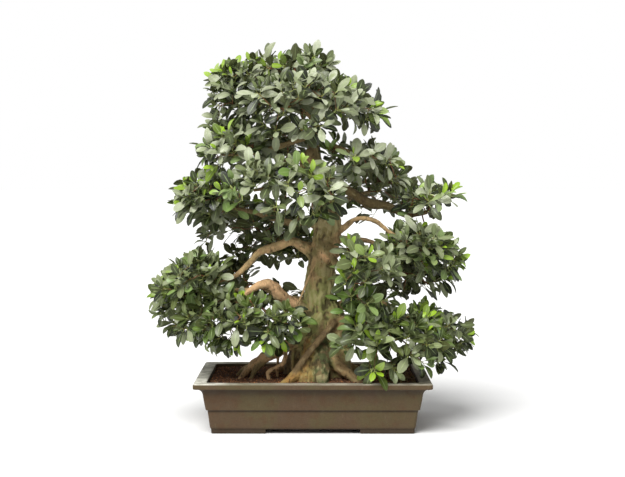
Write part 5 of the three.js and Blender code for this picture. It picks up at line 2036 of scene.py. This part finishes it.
# Where the tree has just come into leaf, and where its leaves are fresh, across and up at the trunk's plane
YOUNG_PLACES = [
    (-264, 1000), (208, 893), (250, 800), (411, 650), (100, 430), (-10, 722), (170, 200), (330, 300),
]
FRESH_PLACES = [(-222, 660), (-150, 603), (60, 470), (120, 330), (150, 690)]
NEAR_PLACE = 42
OUTSIDE_FROM = 55
FLUSH_SHARE = 0.85
OUTER_YOUNG_SHARE = 0.28
INNER_YOUNG_SHARE = 0.08
YOUNG = 0.95
OLD = 0.1
FRESH_PADS = {"upper_right", "right", "right_arch", "front_right", "front_low", "right_near", "left_bottom"}
FRESH_SHARE = 0.2
RARE_FRESH_SHARE = 0.07
FRESHNESS = (0.5, 0.9)
# Painted sky sheen grows from one height to another, so the upper crown looks lit from above, and the lower
# pads on the right have more of it
SHEEN_BASE = 0.2
RIGHT_SHEEN_BASE = 0.4
RIGHT_SHEEN_FROM = 130
LOW_SHEEN_TO = 330
HIGH_SHEEN = 0.62
SHEEN_RISE = (380, 800)
SHEEN_JITTER = 0.25


def near_any(here, places):
    """True where a place on the trunk's plane is close to one of a list"""
    return min((here - Vector(spot)).length for spot in places) < NEAR_PLACE


def light_at(tip):
    """Where the light comes from at a tip"""
    frontwards = FRONT_LIGHT if tip.y < BACK_FROM else BACK_LIGHT
    return (Vector((0, frontwards, TOP_LIGHT)) + OUTER_LIGHT * away_from_trunk(tip)).normalized()


def flush_share(here):
    """How likely a rosette has young leaves, by where it shows"""
    if near_any(here, YOUNG_PLACES):
        return FLUSH_SHARE
    return OUTER_YOUNG_SHARE if inside_crown(*here) < OUTSIDE_FROM else INNER_YOUNG_SHARE


def painted_sheen_at(tip):
    """How much painted sky sheen the leaves of a tip get, before chance adds to it"""
    base = RIGHT_SHEEN_BASE if tip.x > RIGHT_SHEEN_FROM and tip.z > LOW_SHEEN_TO else SHEEN_BASE
    low, high = SHEEN_RISE
    return base + HIGH_SHEEN * clamped((tip.z - low) / (high - low))


def rosette_tips(name, tips, headings, draw):
    """An object of points, one for each tip, with what the recipe needs to know of it"""
    counts, numbers = [], {label: [] for label in ("vigour", "turn", "bloom", "tip_youth", "fresh")}
    fresh_share = FRESH_SHARE if name in FRESH_PADS else RARE_FRESH_SHARE
    for tip in tips:
        here = Vector(from_front(*tip))
        counts.append(draw.choice(LEAF_COUNTS))
        numbers["vigour"].append(draw.uniform(*VIGOUR))
        numbers["turn"].append(draw.uniform(0, 2 * math.pi))
        numbers["tip_youth"].append(YOUNG if draw.random() < flush_share(here) else OLD)
        numbers["bloom"].append(clamped(painted_sheen_at(tip) + draw.uniform(-SHEEN_JITTER, SHEEN_JITTER)))
        is_fresh = draw.random() < fresh_share or near_any(here, FRESH_PLACES)
        numbers["fresh"].append(draw.uniform(*FRESHNESS) if is_fresh else 0.0)
    made = new_object(f"leaves_{name}", tips)
    write(made.data, "heading", headings, "FLOAT_VECTOR")
    write(made.data, "light", [light_at(tip) for tip in tips], "FLOAT_VECTOR")
    write(made.data, "leaf_count", counts, "INT")
    for label, values in numbers.items():
        write(made.data, label, values)
    return made


rosettes = rosette_recipe()
for name, (twigs, headed) in grown.items():
    tips, headings = zip(*headed)
    piece = rosette_tips(name, tips, headings, random.Random(f"leaves {name}"))
    cook(piece, rosettes, {
        "Leaf shapes": leaf_shapes, "Leaf length": LEAF_LENGTH, "Spiral angle": GOLDEN_ANGLE,
        "Outer lean": OUTER_LEAN, "Inner lean": INNER_LEAN, "Droop": LEAF_DROOP,
        "Node spacing": NODE_SPACING, "Seed": LEAF_SEED, "Finish": leaf_finish,
    })
    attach(piece, "root")
    sprays = [node for node in frame["nodes"] if node.rstrip("0123456789") == f"spray_{name}_"]
    if sprays:
        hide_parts(*sprays)
for leaf in list(leaf_shapes.objects):
    bpy.data.objects.remove(leaf)
bpy.data.collections.remove(leaf_shapes)

# %% [markdown]
# ## The last look
#
# Last, the triangles of every shown piece are counted, and their total and the largest piece are printed.

# %% Sizes
triangles = {
    piece.name: sum(len(face.vertices) - 2 for face in piece.data.polygons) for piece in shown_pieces()
}
print("Triangles:", sum(triangles.values()), "largest:", max(triangles.items(), key=lambda item: item[1]))
